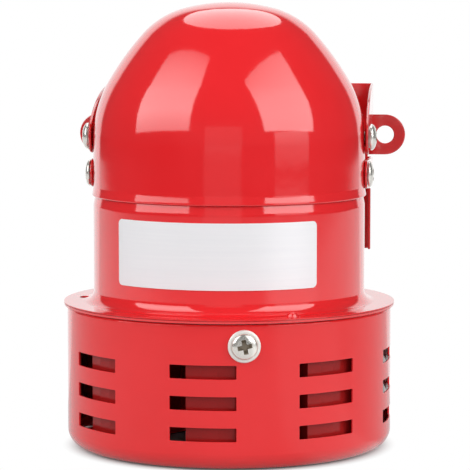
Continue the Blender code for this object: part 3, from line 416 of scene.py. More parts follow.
def surface(profile, turns, skip=None, closed=False):
    """Surface of revolution of (radius, height) points, with faces left out where skip says so."""
    work = bmesh.new()
    rows = []
    for r, z in profile:
        if r < ON_AXIS:
            rows.append([work.verts.new((0.0, 0.0, z))] * len(turns))
        else:
            rows.append([work.verts.new(on_circle(r, t, z)) for t in turns])
    count = len(rows) if closed else len(rows) - 1
    for i in range(count):
        upper = rows[i]
        lower = rows[(i + 1) % len(rows)]
        for j in range(len(turns)):
            k = (j + 1) % len(turns)
            if skip and skip(i, j):
                continue
            corners = dict.fromkeys((upper[j], lower[j], lower[k], upper[k]))
            work.faces.new(list(corners))
    loose = [v for v in work.verts if not v.link_faces]
    bmesh.ops.delete(work, geom=loose, context="VERTS")
    return work


def even_turns(count):
    return [i * 360.0 / count for i in range(count)]


def to_object(name, work):
    for face in work.faces:
        face.smooth = True
    mesh = bpy.data.meshes.new(name)
    work.to_mesh(mesh)
    work.free()
    obj = bpy.data.objects.new(name, mesh)
    bpy.context.scene.collection.objects.link(obj)
    return obj


def thicken(obj, thickness, offset=-1.0):
    solid = obj.modifiers.new("sheet", "SOLIDIFY")
    solid.thickness = thickness
    solid.offset = offset
    solid.use_even_offset = True


def soften(obj, width, segments, angle):
    edge = obj.modifiers.new("edges", "BEVEL")
    edge.width = width
    edge.segments = segments
    edge.limit_method = "ANGLE"
    edge.angle_limit = math.radians(angle)
    edge.harden_normals = False


def carve(obj, cutter):
    boolean = obj.modifiers.new("carve", "BOOLEAN")
    boolean.operation = "DIFFERENCE"
    boolean.solver = "EXACT"
    boolean.object = cutter


def even_shading(obj):
    """Let the large faces set the shading, so that narrow bevels don't bend reflections."""
    weighted = obj.modifiers.new("normals", "WEIGHTED_NORMAL")
    weighted.mode = "FACE_AREA"
    weighted.weight = 100


def settle(obj, cutters=(), sharpen=True):
    """Apply all modifiers and remove the cutters; shade smooth with sharp edges kept, unless told not to."""
    bpy.context.view_layer.update()
    depsgraph = bpy.context.evaluated_depsgraph_get()
    mesh = bpy.data.meshes.new_from_object(obj.evaluated_get(depsgraph))
    obj.modifiers.clear()
    obj.data = mesh
    if sharpen:
        mesh.polygons.foreach_set("use_smooth", [True] * len(mesh.polygons))
        mesh.set_sharp_from_angle(angle=math.radians(SHARP_ANGLE))
    for cutter in cutters:
        bpy.data.objects.remove(cutter, do_unlink=True)


def true_shading(obj, direction):
    """Shade a turned sheet by its own form, given the outward direction at a point of it."""
    mesh = obj.data
    normals = [vertex.normal.copy() for vertex in mesh.vertices]
    for face in mesh.polygons:
        side = face.normal.dot(direction(face.center))
        if abs(side) > SKIN_COSINE:
            for index in face.vertices:
                normals[index] = direction(mesh.vertices[index].co) * math.copysign(1.0, side)
    mesh.normals_split_custom_set([normals[loop.vertex_index] for loop in mesh.loops])


def dress(obj, material, body, slot, *nodes):
    """Give a piece its material or materials and its body, and hide the nodes it stands for; the slot is not
    used.
    """
    obj.data.materials.clear()
    for look in material if isinstance(material, tuple) else (material,):
        obj.data.materials.append(look)
    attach(obj, body)
    if nodes:
        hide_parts(*nodes)
    return obj


def rod(name, radius, place, direction, length):
    """Round cutter centred on a point."""
    work = bmesh.new()
    bmesh.ops.create_cone(
        work, cap_ends=True, segments=DRILL_FACETS, radius1=radius, radius2=radius, depth=length,
    )
    obj = to_object(name, work)
    obj.rotation_euler = Vector(direction).to_track_quat("Z", "Y").to_euler()
    obj.location = place
    return obj


# Shells

def dome_profile():
    """Four tangent arcs from the crown to the skirt, then the flared rim with its round lip."""
    ends = [0.0] + [end for _, end in DOME_ARCS]
    sines = [math.sin(math.radians(e)) for e in ends]
    cosines = [math.cos(math.radians(e)) for e in ends]
    fit = BODY_RADIUS / sum(r * (sines[i + 1] - sines[i]) for i, (r, _) in enumerate(DOME_ARCS))
    radius = 0.0
    height = DOME_TOP
    points = [(radius, height)]
    for i, (arc_radius, end) in enumerate(DOME_ARCS):
        steps = math.ceil((end - ends[i]) / DOME_STEP)
        for step in range(1, steps + 1):
            angle = math.radians(ends[i] + (end - ends[i]) * step / steps)
            points.append((
                radius + fit * arc_radius * (math.sin(angle) - sines[i]),
                height - fit * arc_radius * (cosines[i] - math.cos(angle)),
            ))
        radius, height = points[-1]
    rim = SEAM + FLARE_HEIGHT
    slope = math.tan(math.radians(FLARE_TILT))
    points += [(BODY_RADIUS, (height + rim) / 2), (BODY_RADIUS, rim)]
    points += [(BODY_RADIUS + slope * FLARE_KNEE * t * t / 2, rim - FLARE_KNEE * t) for t in FLARE_KNEE_ROWS]
    radius, height = points[-1]
    drop = height - SEAM - LIP_RADIUS
    points += [(radius + slope * drop * t, height - drop * t) for t in FLARE_ROWS]
    centre = (radius + slope * drop - LIP_RADIUS, SEAM + LIP_RADIUS)
    points += arc(centre, LIP_RADIUS, FLARE_TILT, -90.0, LIP_STEPS)
    return points


def build_dome():
    dome = to_object("dome_skin", surface(dome_profile(), even_turns(SHELL_FACETS)))
    thicken(dome, CAP_SHEET)
    settle(dome)
    dress(dome, RED, "housing", "red_paint", "dome_cap")


def can_profile():
    """Neck inside the cap, shoulder sloping out under its rim, wall, fillet and flange."""
    straight, bend, end = (SEAM + rise for rise in NECK_RISES)
    points = [(NECK_RADIUS, NECK_TOP), (NECK_RADIUS, straight)]
    points += [(NECK_RADIUS + NECK_ROUND, bend), (BODY_RADIUS - SHOULDER_INSET - NECK_ROUND, end)]
    for i in range(SHOULDER_STEPS, 0, -1):
        inset = SHOULDER_INSET * i / SHOULDER_STEPS
        points.append((BODY_RADIUS - inset, SEAM - SHOULDER_HEIGHT * (SHOULDER_STEPS - i) / SHOULDER_STEPS))
    foot = SEAM - SHOULDER_HEIGHT
    points += [(BODY_RADIUS - KNEE_INSET, foot + KNEE_HEIGHT), (BODY_RADIUS, foot - KNEE_HEIGHT)]
    centre = (BODY_RADIUS + FLANGE_FILLET, FLANGE_TOP + FLANGE_FILLET)
    # Rows close to the wall's two ends keep its shading straight
    points += [(BODY_RADIUS, foot - WALL_TOP_ROW), (BODY_RADIUS, centre[1] + WALL_FOOT_ROW)]
    points += arc(centre, FLANGE_FILLET, 180.0, 270.0, FILLET_STEPS)
    start = points[-1][0]
    land = FLANGE_RADIUS - start
    points += [(start + land * i / FLANGE_STEPS, FLANGE_TOP) for i in range(1, FLANGE_STEPS + 1)]
    return points


def build_body():
    """Can with its flange: a drop of paint, a small hole, the cable's inlet and a seam round the rim."""
    drop_radius, drop_turn = PAINT_DROP
    near = [drop_turn + PAINT_DROP_STEP * i for i in range(-PAINT_DROP_STEPS, PAINT_DROP_STEPS + 1)]
    turns = sorted(near + [t for t in even_turns(SHELL_FACETS) if abs(t - drop_turn) > PAINT_DROP_MARGIN])
    work = surface(can_profile(), turns)
    drop = on_circle(drop_radius, drop_turn, FLANGE_TOP)
    for vertex in work.verts:
        share = 1.0 - ((vertex.co - drop).length / PAINT_DROP_RADIUS) ** 2
        if share > 0.0:
            vertex.co.z += PAINT_DROP_HEIGHT * math.sqrt(share)
    body = to_object("can_skin", work)
    thicken(body, SHEET)
    soften(body, CAN_EDGE, segments=3, angle=60.0)
    hole = on_circle(FLANGE_RADIUS - FLANGE_HOLE_INSET, FLANGE_HOLE_TURN, FLANGE_BOTTOM + SHEET / 2)
    drill = rod("flange_drill", FLANGE_HOLE, hole, (0.0, 0.0, 1.0), 4 * SHEET)
    drill.scale.y = FLANGE_HOLE_STRETCH
    inlet = rod("inlet_drill", INLET_RADIUS, (0.0, BODY_RADIUS, GROMMET_Z), (0.0, 1.0, 0.0), 10 * SHEET)
    inner = FLANGE_RADIUS - SHEET / 2
    outer = FLANGE_RADIUS + SHEET
    upper, lower = (FLANGE_TOP - depth for depth in FLANGE_SEAM)
    section = [(inner, upper), (inner, lower), (outer, lower), (outer, upper)]
    groove = surface(section, even_turns(SHELL_FACETS), closed=True)
    bmesh.ops.recalc_face_normals(groove, faces=groove.faces)
    seam = to_object("flange_seam", groove)
    carve(body, drill)
    carve(body, inlet)
    carve(body, seam)
    settle(body, (drill, inlet, seam))
    dress(body, RED, "housing", "red_paint", "motor_body")


def drum_direction(point):
    """Outward direction of the drum's sheet: round the wall, round the bottom corner, under the floor."""
    radius = math.hypot(point.x, point.y)
    out = Vector((point.x / radius, point.y / radius, 0.0))
    across = max(0.0, radius - CAGE_RADIUS + CAGE_CORNER)
    down = max(0.0, CAGE_CORNER - point.z)
    return (out * across + Vector((0.0, 0.0, -down))).normalized()


def build_cage():
    """Slotted drum: the grid's lines run along the slots' edges, and the slots are left open."""
    turns = []
    open_columns = set()
    pitch = 360.0 / SLOT_COLUMNS
    for column in range(SLOT_COLUMNS):
        centre = SLOT_TURN + column * pitch
        for i in range(SLOT_STEPS):
            open_columns.add(len(turns))
            turns.append(centre - SLOT_HALF_ANGLE + 2 * SLOT_HALF_ANGLE * i / SLOT_STEPS)
        rest = pitch - 2 * SLOT_HALF_ANGLE
        for i in range(SLOT_STEPS):
            turns.append(centre + SLOT_HALF_ANGLE + rest * i / SLOT_STEPS)
    heights = []
    open_rows = set()
    for row in reversed(range(SLOT_ROWS)):
        centre = SLOT_LOWEST + row * SLOT_PITCH
        open_rows.add(len(CAGE_TOP_ROUND) + len(heights))
        heights += [centre + SLOT_HEIGHT / 2, centre - SLOT_HEIGHT / 2]
    profile = [(CAGE_RADIUS - inset, CAGE_HEIGHT - depth) for inset, depth in CAGE_TOP_ROUND]
    profile += [(CAGE_RADIUS, z) for z in heights]
    corner = (CAGE_RADIUS - CAGE_CORNER, CAGE_CORNER)
    profile += arc(corner, CAGE_CORNER, 0.0, -90.0, CAGE_CORNER_STEPS)
    profile.append((INTAKE_RADIUS, 0.0))
    work = surface(profile, turns, lambda i, j: i in open_rows and j in open_columns)
    corners = [v for v in work.verts if v.is_boundary and len(v.link_faces) == 3]
    bmesh.ops.bevel(
        work, geom=corners, offset=SLOT_CORNER, segments=2, profile=0.5, affect="VERTICES", clamp_overlap=True,
    )
    cage = to_object("drum_skin", work)
    thicken(cage, CAGE_SHEET)
    soften(cage, CAGE_EDGE, segments=3, angle=50.0)
    settle(cage)
    true_shading(cage, drum_direction)
    dress(cage, CAGE_RED, "housing", "red_paint", "sound_cage")


# Screws

def cross_cutter(size, width, top, bottom):
    """Tapered cross for a driver recess."""
    work = bmesh.new()
    rings = []
    for z, along, across in ((top, RECESS_MOUTH, RECESS_MOUTH), (bottom, *RECESS_FOOT)):
        a = size * along / 2
        b = width * across / 2
        plus = [(a, -b), (a, b), (b, b), (b, a), (-b, a), (-b, b)]
        plus += [(-x, -y) for x, y in plus]
        rings.append([work.verts.new((x, y, z)) for x, y in plus])
    count = len(rings[0])
    for i in range(count):
        k = (i + 1) % count
        work.faces.new((rings[0][i], rings[1][i], rings[1][k], rings[0][k]))
    work.faces.new(rings[0])
    work.faces.new(rings[1][::-1])
    bmesh.ops.recalc_face_normals(work, faces=work.faces)
    return to_object("recess", work)


def screw_profile(head, washer):
    """Domed head, the groove under it, the washer and the shank."""
    radius, height = head
    washer_radius, base = washer
    profile = []
    for i in range(HEAD_STEPS + 1):
        angle = math.radians(90.0 * i / HEAD_STEPS)
        rise = HEAD_EDGE + (height - HEAD_EDGE) * math.cos(angle)
        profile.append((radius * math.sin(angle), base + rise))
    profile.append((radius + HEAD_FOOT[0], base + HEAD_FOOT[1]))
    if washer_radius > radius:
        profile += [(radius + across, base + rise) for across, rise in WASHER_GROOVE]
        profile += [(washer_radius + across, base + rise) for across, rise in WASHER_RIM]
    else:
        profile.append((washer_radius, base))
    profile += [(washer_radius, base * WASHER_SIDE), (washer_radius, 0.0)]
    profile += [(SHANK_RADIUS, 0.0), (SHANK_RADIUS, -SHANK_LENGTH), (0.0, -SHANK_LENGTH)]
    return profile


def screw_part(point, head, washer):
    """Which material a face of a screw takes: head, washer, or the dark painted shade in the recess."""
    radius, height = head
    base = washer[1]
    reach = math.hypot(point.x, point.y)
    if reach > radius or point.z < base:
        return 1
    top = base + HEAD_EDGE + (height - HEAD_EDGE) * math.sqrt(1.0 - (reach / radius) ** 2)
    return 2 if point.z < top - RECESS_STEP and reach < radius * RECESS_REACH else 0


def build_screw(name, node, seat, direction, head, washer, twist):
    """Domed screw head with a cross recess, on a pressed washer where it has one."""
    screw = to_object(name, surface(screw_profile(head, washer), even_turns(SCREW_FACETS)))
    radius, height = head
    top = washer[1] + height
    bottom = top - height * RECESS_DEPTH
    cutter = cross_cutter(radius * RECESS_SPAN, radius * RECESS_WIDTH, top + RECESS_OVERCUT, bottom)
    cutter.rotation_euler = (0.0, 0.0, math.radians(twist))
    carve(screw, cutter)
    settle(screw, (cutter,))
    parts = [screw_part(face.center, head, washer) for face in screw.data.polygons]
    turn = Vector(direction).to_track_quat("Z", "Y").to_matrix().to_4x4()
    screw.data.transform(Matrix.Translation(seat) @ turn)
    dress(screw, (SCREW_METAL, WASHER_METAL, RECESS_PAINTED_SHADE), "housing", "bright_screw", node)
    # Head, washer and the recess's painted shade, face by face
    screw.data.polygons.foreach_set("material_index", parts)


def build_screws():
    for index, twist in enumerate(CAGE_TWISTS):
        turn = CAGE_SCREW_TURN + 120.0 * index
        build_screw(
            f"cage_screw_skin_{index + 1}", f"cage_screw_{index + 1}",
            on_circle(CAGE_RADIUS + CONTACT, turn, CAGE_SCREW_Z), on_circle(1.0, turn, 0.0),
            CAGE_HEAD, CAGE_WASHER, twist,
        )
    for side_name, side in (("left", -1), ("right", 1)):
        for label, z, lean, head, washer, twist in (
            ("upper", UPPER_SCREW_Z, 0.0, UPPER_HEAD, UPPER_WASHER, UPPER_TWIST),
            ("lower", LOWER_SCREW_Z, ARM_LEAN, LOWER_HEAD, LOWER_WASHER, LOWER_TWIST),
        ):
            build_screw(
                f"bracket_screw_skin_{label}_{side_name}", f"bracket_screw_{label}_{side_name}",
                (side * (ARM_OUTER - lean + CONTACT), 0.0, z), (side, 0.0, 0.0),
                head, washer, twist,
            )


# Bracket

def tangent_angle(centre, radius, point, side):
    """Where a line from a point touches a circle, on one side of it."""
    dx = point[0] - centre[0]
    dy = point[1] - centre[1]
    return math.degrees(math.atan2(dy, dx) + side * math.acos(radius / math.hypot(dx, dy)))


def fill(work, loops):
    """Flat triangles between closed loops of vertices, the first outside and the rest holes."""
    edges = []
    for loop in loops:
        for a, b in zip(loop, loop[1:] + loop[:1]):
            found = work.edges.get((a, b))
            edges.append(found or work.edges.new((a, b)))
    bmesh.ops.triangle_fill(work, use_beauty=True, use_dissolve=False, edges=edges)


def swept_edge(corner, centre, radius, turn):
    """Edge that leaves a corner level and bends down on to a circle, touching it at a given turn."""
    angle = math.radians(turn)
    y = centre[0] + radius * math.cos(angle)
    z = centre[1] + radius * math.sin(angle)
    knee = y - (corner[1] - z) * math.tan(angle)
    edge = []
    for i in range(1, SWEEP_STEPS):
        t = i / SWEEP_STEPS
        edge.append((
            corner[0] * (1 - t) ** 2 + 2 * knee * t * (1 - t) + y * t ** 2,
            corner[1] * (1 - t ** 2) + z * t ** 2,
        ))
    return edge


def fold(work, side, plane, back, pair):
    """Sheet bent forward from a pair of plate corners; gives the pair of corners after the bend."""
    last = pair
    for i in range(1, BEND_STEPS + 1):
        angle = math.radians(90.0 * i / BEND_STEPS)
        x = side * (plane - BEND + BEND * math.sin(angle))
        y = back - BEND * (1.0 - math.cos(angle))
        fresh = tuple(work.verts.new((x, y, corner.co.z)) for corner in pair)
        work.faces.new((last[0], last[1], fresh[1], fresh[0]))
        last = fresh
    return last


def arm(work, side, plane, lean, root, screw_z, lobe, top_turn):
    """Flat arm from its bend to a lobe, drawn in by a lean and dimpled round the screw hole."""
    corner = root[1].co

    def put(y, z, depth=0.0):
        return work.verts.new((side * (plane - depth - lean * (1.0 - y / corner.y)), y, z))

    centre = (0.0, screw_z)
    top = []
    start = tangent_angle(centre, lobe, (corner.y, corner.z), 1)
    if top_turn:
        top = swept_edge((corner.y, corner.z), centre, lobe, top_turn)
        start = top_turn
    end = tangent_angle(centre, lobe, (root[0].co.y, root[0].co.z), -1) + 360.0
    rim = top + arc(centre, lobe, start, end, ARM_STEPS)
    outline = list(root) + [put(y, z) for y, z in rim]
    rings = []
    dimple = CLEARANCE - lean
    for radius, share in DIMPLE:
        ring = arc(centre, radius, 0.0, 360.0, ARM_STEPS)[:-1]
        rings.append([put(y, z, dimple * share) for y, z in ring])
    fill(work, [outline, rings[0]])
    for outer, inner in zip(rings, rings[1:]):
        for i in range(len(outer)):
            work.faces.new((outer[i - 1], outer[i], inner[i], inner[i - 1]))


def build_bracket():
    """Folded sheet: back plate with ears; arms and the tail's flanges come forward round small bends."""
    back = WALL_Y - BRACKET_SHEET / 2 - WALL_GAP
    arm_plane = ARM_OUTER - BRACKET_SHEET / 2
    tail_plane = arm_plane - TAIL_INSET
    ear_top = EAR_Z + EAR_RADIUS
    ear_bottom = EAR_Z - EAR_RADIUS
    low = ear_bottom - ARM_RELIEF - ARM_WIDTH
    tail = bracket_low.z
    work = bmesh.new()

    def put(x, z):
        return work.verts.new((x, back, z))

    halves = []
    holes = []
    for side in (1, -1):
        def pair(plane, bottom, top):
            return [put(side * (plane - BEND), z) for z in (bottom, top)]

        tail_root = pair(tail_plane, tail, low - ARM_RELIEF)
        lower_root = pair(arm_plane, low, low + ARM_WIDTH)
        upper_root = pair(arm_plane, ear_top + ARM_RELIEF, bracket_high.z)
        ear = [put(side * (arm_plane - BEND), ear_bottom), put(side * arm_plane, ear_bottom)]
        ear += [put(side * x, z) for x, z in arc((EAR_X, EAR_Z), EAR_RADIUS, -90.0, 90.0, EAR_STEPS)]
        ear += [put(side * arm_plane, ear_top), put(side * (arm_plane - BEND), ear_top)]
        halves.append(tail_root + lower_root + ear + upper_root)
        ring = arc((side * EAR_X, EAR_Z), EAR_HOLE_RADIUS, 0.0, 360.0, ARM_STEPS)[:-1]
        holes.append([put(x, z) for x, z in ring])
        root = fold(work, side, arm_plane, back, lower_root)
        arm(work, side, arm_plane, ARM_LEAN, root, LOWER_SCREW_Z, LOWER_LOBE, None)
        root = fold(work, side, arm_plane, back, upper_root)
        arm(work, side, arm_plane, 0.0, root, UPPER_SCREW_Z, UPPER_LOBE, LOBE_TOP_TURN)
        root = fold(work, side, tail_plane, back, tail_root)
        front = [work.verts.new((side * tail_plane, WALL_Y - TAIL_FLANGE, end.co.z)) for end in root]
        work.faces.new((root[0], root[1], front[1], front[0]))
    fill(work, [halves[0] + halves[1][::-1]] + holes)
    bmesh.ops.recalc_face_normals(work, faces=work.faces)
    bracket = to_object("bracket_sheet", work)
    thicken(bracket, BRACKET_SHEET, 0.0)
    soften(bracket, BRACKET_EDGE, segments=4, angle=40.0)
    even_shading(bracket)
    settle(bracket, sharpen=False)
    dress(bracket, BRACKET_SHADED_RED, "housing", "red_paint", "mounting_bracket")


# Label, grommet and springs

def build_label():
    """Thin sticker wrapped round the can, with rounded corners."""
    radius = BODY_RADIUS + LABEL_LIFT
    half_width = radius * math.radians(LABEL_HALF_ANGLE)
    half_height = (label_high.z - label_low.z) / 2
    middle_height = (label_high.z + label_low.z) / 2
    angles = [math.radians(90.0 * i / LABEL_CORNER_STEPS) for i in range(LABEL_CORNER_STEPS + 1)]
    rounding = [LABEL_CORNER * (1.0 - math.cos(angle)) for angle in angles]
    straight = half_width - LABEL_CORNER
    columns = [-half_width + step for step in rounding]
    columns += [straight * (2.0 * i / LABEL_STEPS - 1.0) for i in range(1, LABEL_STEPS)]
    columns += [half_width - step for step in reversed(rounding)]
    work = bmesh.new()
    pairs = []
    for s in columns:
        edge = max(0.0, abs(s) - straight)
        reach = half_height - LABEL_CORNER + math.sqrt(max(0.0, LABEL_CORNER ** 2 - edge ** 2))
        turn = LABEL_TURN + math.degrees(s / radius)
        pairs.append([work.verts.new(on_circle(radius, turn, middle_height + k * reach)) for k in (1, -1)])
    for a, b in zip(pairs, pairs[1:]):
        work.faces.new((a[0], a[1], b[1], b[0]))
    label = to_object("label_sheet", work)
    thicken(label, LABEL_SHEET, 1.0)
    settle(label)
    dress(label, LABEL, "housing", "label_silver", "name_label")


def build_grommet():
    """Rubber ring in the can's rear wall, with a rim on each side of the sheet."""
    out = BODY_RADIUS + CLEARANCE
    inside = BODY_RADIUS - GROMMET_DEPTH
    back = inside - GROMMET_BACK
    profile = [(radius, out + rise) for radius, rise in GROMMET_LIP]
    profile += [(GROMMET_NECK, out), (GROMMET_NECK, inside), (GROMMET_RIM, inside)]
    profile += [(GROMMET_RIM, back), (GROMMET_BORE, back)]
    work = surface(profile, even_turns(GROMMET_FACETS), closed=True)
    turn = Vector((0.0, 1.0, 0.0)).to_track_quat("Z", "Y").to_matrix().to_4x4()
    bmesh.ops.transform(work, matrix=Matrix.Translation((0.0, 0.0, GROMMET_Z)) @ turn, verts=work.verts)
    grommet = to_object("grommet_skin", work)
    settle(grommet)
    dress(grommet, RUBBER, "housing", "black_rubber", "cable_grommet")


def coil(axis_start, length, radius, wire):
    """Round wire wound about a line along X, with flat ends."""
    work = bmesh.new()
    steps = SPRING_TURNS * SPRING_STEPS
    rise = length - 2 * wire
    rings = []
    for i in range(steps + 1):
        angle = 2 * math.pi * SPRING_TURNS * i / steps
        out = Vector((0.0, math.cos(angle), math.sin(angle)))
        along = Vector((rise / (2 * math.pi * SPRING_TURNS), -radius * out.z, radius * out.y)).normalized()
        side = along.cross(out)
        middle_point = axis_start + Vector((wire + rise * i / steps, 0.0, 0.0)) + out * radius
        ring = []
        for k in range(WIRE_SIDES):
            turn = math.radians(360.0 / WIRE_SIDES * k)
            ring.append(work.verts.new(middle_point + (out * math.cos(turn) + side * math.sin(turn)) * wire))
        rings.append(ring)
    for first, second in zip(rings, rings[1:]):
        for k in range(WIRE_SIDES):
            work.faces.new((first[k - 1], first[k], second[k], second[k - 1]))
    work.faces.new(rings[0])
    work.faces.new(rings[-1][::-1])
    bmesh.ops.recalc_face_normals(work, faces=work.faces)
    return work


def build_springs():
    """Springs behind the brushes, sized to their nodes' boxes."""
    for name, side in (("left", -1), ("right", 1)):
        node = f"brush_spring_{name}"
        low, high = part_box(node)
        centre = middle(node)
        length = high.x - low.x
        radius = (high.y - low.y) / 2 - SPRING_WIRE
        start = Vector((low.x, centre.y, centre.z))
        spring = to_object(f"spring_coil_{name}", coil(start, length, radius, SPRING_WIRE))
        settle(spring)
        dress(spring, SLOT_LOOKS["shaft_steel"], "housing", "shaft_steel", node)
        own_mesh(spring)


build_dome()
build_body()
build_cage()
build_screws()
build_bracket()
build_label()
build_grommet()
build_springs()

slot_of = {entry["node"]: entry["material_slot"] for entry in frame["record"]["subparts"]}
for node, obj in frame["nodes"].items():
    obj.data.materials.clear()
    obj.data.materials.append(SLOT_LOOKS[slot_of[node]])


# Stage, light and camera

# Floor: the lit table round a point behind the object, and how far it and the shadow reach
FLOOR_SIZE = 3.0
FLOOR_DROP = 0.0002
TABLE_WHITE = (0.48, 0.48, 0.48)
TABLE_DARK = (0.04, 0.04, 0.04)
TABLE_CENTRE = (-0.03, 0.55, 0.0)
TABLE_REACH = (0.74, 0.98)
TABLE_GLOSS = 0.46
SHADOW_REACH = (0.0385, 0.0463)

# White backdrop: its direction, its edges as cosines, and the sines of elevation over which it ends
BACKDROP_MIDDLE = (-0.09, 1.0, 0.0)
BACKDROP_EDGE = (0.74, 0.80)
BACKDROP_TOP = (0.42, 0.56)
WORLD_DIM = 0.08

# What gloss shows of the floor in front, dimmer straight ahead
FRONT_REACH = (0.72, 0.98)
FRONT_GLOSS = (0.50, 0.05)
FRONT_AHEAD = (-0.26, -0.97, 0.0)
FRONT_TURN = (0.45, 0.85)
FRONT_SHARES = (0.80, 0.60)

# Painted light on that floor, seen only in gloss: a pool of light from the right softbox and a paler band
# straight ahead; each has its direction, edges as cosines, the distances where full and where gone, and gain
PAINTED_LIGHT_PATCH = ((0.848, -0.530, 0.0), (0.88, 0.97), (0.55, 0.75), 0.60)
PAINTED_LIGHT_BAND = ((-0.017, -1.0, 0.0), (0.956, 0.974), (0.60, 0.45), 0.17)

# Lamps' brightness from the bottom edge to the top edge
LEFT_SHARES = ((0.0, 0.60), (0.25, 1.0), (0.55, 0.86), (1.0, 0.28))
RIGHT_SHARES = ((0.0, 0.95), (0.25, 1.0), (0.55, 0.93), (1.0, 0.50))
GLOW_SHARES = ((0.0, 0.40), (1.0, 1.0))

# Camera: sensor and lens in millimetres, shift in sensor widths, pitch in radians
CAMERA_SENSOR = 36.0
CAMERA_LENS = 200.8
CAMERA_SHIFT = 0.01255
CAMERA_TURN = 4.64
CAMERA_DISTANCE = 0.7154
CAMERA_HEIGHT = 0.1285
CAMERA_PITCH = 0.099


def distance_from(tree, point=(0.0, 0.0, 0.0)):
    """Distance on the floor from a point, by default from the object's axis."""
    node = tree.nodes.new("ShaderNodeVectorMath")
    node.operation = "DISTANCE"
    node.inputs[1].default_value = point
    tree.links.new(object_coordinates(tree), node.inputs[0])
    return node.outputs["Value"]


def fade(tree, value, start, end, low, high):
    """Smooth step from one value to another over a range."""
    node = tree.nodes.new("ShaderNodeMapRange")
    node.interpolation_type = "SMOOTHSTEP"
    node.inputs["From Min"].default_value = start
    node.inputs["From Max"].default_value = end
    node.inputs["To Min"].default_value = low
    node.inputs["To Max"].default_value = high
    tree.links.new(value, node.inputs["Value"])
    return node.outputs["Result"]


def combine(tree, operation, first, second):
    node = tree.nodes.new("ShaderNodeMath")
    node.operation = operation
    tree.links.new(first, node.inputs[0])
    tree.links.new(second, node.inputs[1])
    return node.outputs["Value"]


def seen_directly(tree, path):
    """Rays straight from the camera, or through something clear."""
    return combine(tree, "MAXIMUM", path.outputs["Is Camera Ray"], path.outputs["Is Transmission Ray"])


def facing(tree, direction, towards, start, end, low, high):
    """Value that changes with how far a direction points one way."""
    lean = tree.nodes.new("ShaderNodeVectorMath")
    lean.operation = "DOT_PRODUCT"
    lean.inputs[1].default_value = towards
    tree.links.new(direction, lean.inputs[0])
    return fade(tree, lean.outputs["Value"], start, end, low, high)


def facing_back(tree, direction):
    """1 in the directions of the white backdrop behind the object, 0 elsewhere."""
    return facing(tree, direction, BACKDROP_MIDDLE, *BACKDROP_EDGE, 0.0, 1.0)


def stage_floor():
    """White table that ends in the dark; the camera sees white all the way, with the shadow kept."""
    work = bmesh.new()
    bmesh.ops.create_grid(work, x_segments=1, y_segments=1, size=FLOOR_SIZE)
    floor = to_object("floor", work)
    floor.location = (0.0, 0.0, -FLOOR_DROP)
    material, tree, shader = new_material("floor_white")
    shader.inputs["Roughness"].default_value = 0.9
    shader.inputs["Specular IOR Level"].default_value = 0.0
    beyond = fade(tree, distance_from(tree, TABLE_CENTRE), *TABLE_REACH, 0.0, 1.0)
    tree.links.new(ramp(tree, beyond, TABLE_WHITE, TABLE_DARK), shader.inputs["Base Color"])
    table = fade(tree, distance_from(tree, TABLE_CENTRE), *TABLE_REACH, TABLE_GLOSS, 0.0)
    away = tree.nodes.new("ShaderNodeVectorMath")
    away.operation = "NORMALIZE"
    tree.links.new(object_coordinates(tree), away.inputs[0])
    front = fade(tree, distance_from(tree), *FRONT_REACH, *FRONT_GLOSS)
    aside = facing(tree, away.outputs["Vector"], FRONT_AHEAD, *FRONT_TURN, *FRONT_SHARES)
    front = combine(tree, "MULTIPLY", front, aside)
    pale = combine(tree, "MAXIMUM", table, facing_back(tree, away.outputs["Vector"]))
    pale = combine(tree, "MAXIMUM", pale, front)
    # Painted light: the two paler sectors, seen only in gloss
    for towards, turn, reach, gain in (PAINTED_LIGHT_PATCH, PAINTED_LIGHT_BAND):
        sector = facing(tree, away.outputs["Vector"], towards, *turn, 0.0, gain)
        share = fade(tree, distance_from(tree), *reach, 1.0, 0.0)
        pale = combine(tree, "ADD", pale, combine(tree, "MULTIPLY", sector, share))
    path = tree.nodes.new("ShaderNodeLightPath")
    glossy = combine(tree, "MULTIPLY", pale, path.outputs["Is Glossy Ray"])
    shown = combine(tree, "MAXIMUM", seen_directly(tree, path), glossy)
    clear = fade(tree, distance_from(tree), *SHADOW_REACH, 0.0, 1.0)
    glow = add(tree, "ShaderNodeEmission", Color=(1.0, 1.0, 1.0, 1.0), Strength=1.0)
    mix = tree.nodes.new("ShaderNodeMixShader")
    tree.links.new(combine(tree, "MULTIPLY", shown, clear), mix.inputs["Fac"])
    tree.links.new(shader.outputs["BSDF"], mix.inputs[1])
    tree.links.new(glow.outputs["Emission"], mix.inputs[2])
    tree.links.new(mix.outputs["Shader"], tree.nodes["Material Output"].inputs["Surface"])
    floor.data.materials.append(material)


def shade_lamp(lamp, shares):
    """Vary a lamp's brightness from its bottom edge to its top edge."""
    lamp.use_nodes = True
    tree = lamp.node_tree
    split = tree.nodes.new("ShaderNodeSeparateXYZ")
    tree.links.new(tree.nodes.new("ShaderNodeNewGeometry").outputs["Parametric"], split.inputs["Vector"])
    curve = tree.nodes.new("ShaderNodeValToRGB")
    stops = curve.color_ramp.elements
    for i, (position, share) in enumerate(shares):
        stop = stops[i] if i < len(stops) else stops.new(position)
        stop.position = position
        stop.color = (share, share, share, 1.0)
    tree.links.new(split.outputs["Y"], curve.inputs["Fac"])
    tree.links.new(curve.outputs["Color"], tree.nodes["Emission"].inputs["Color"])


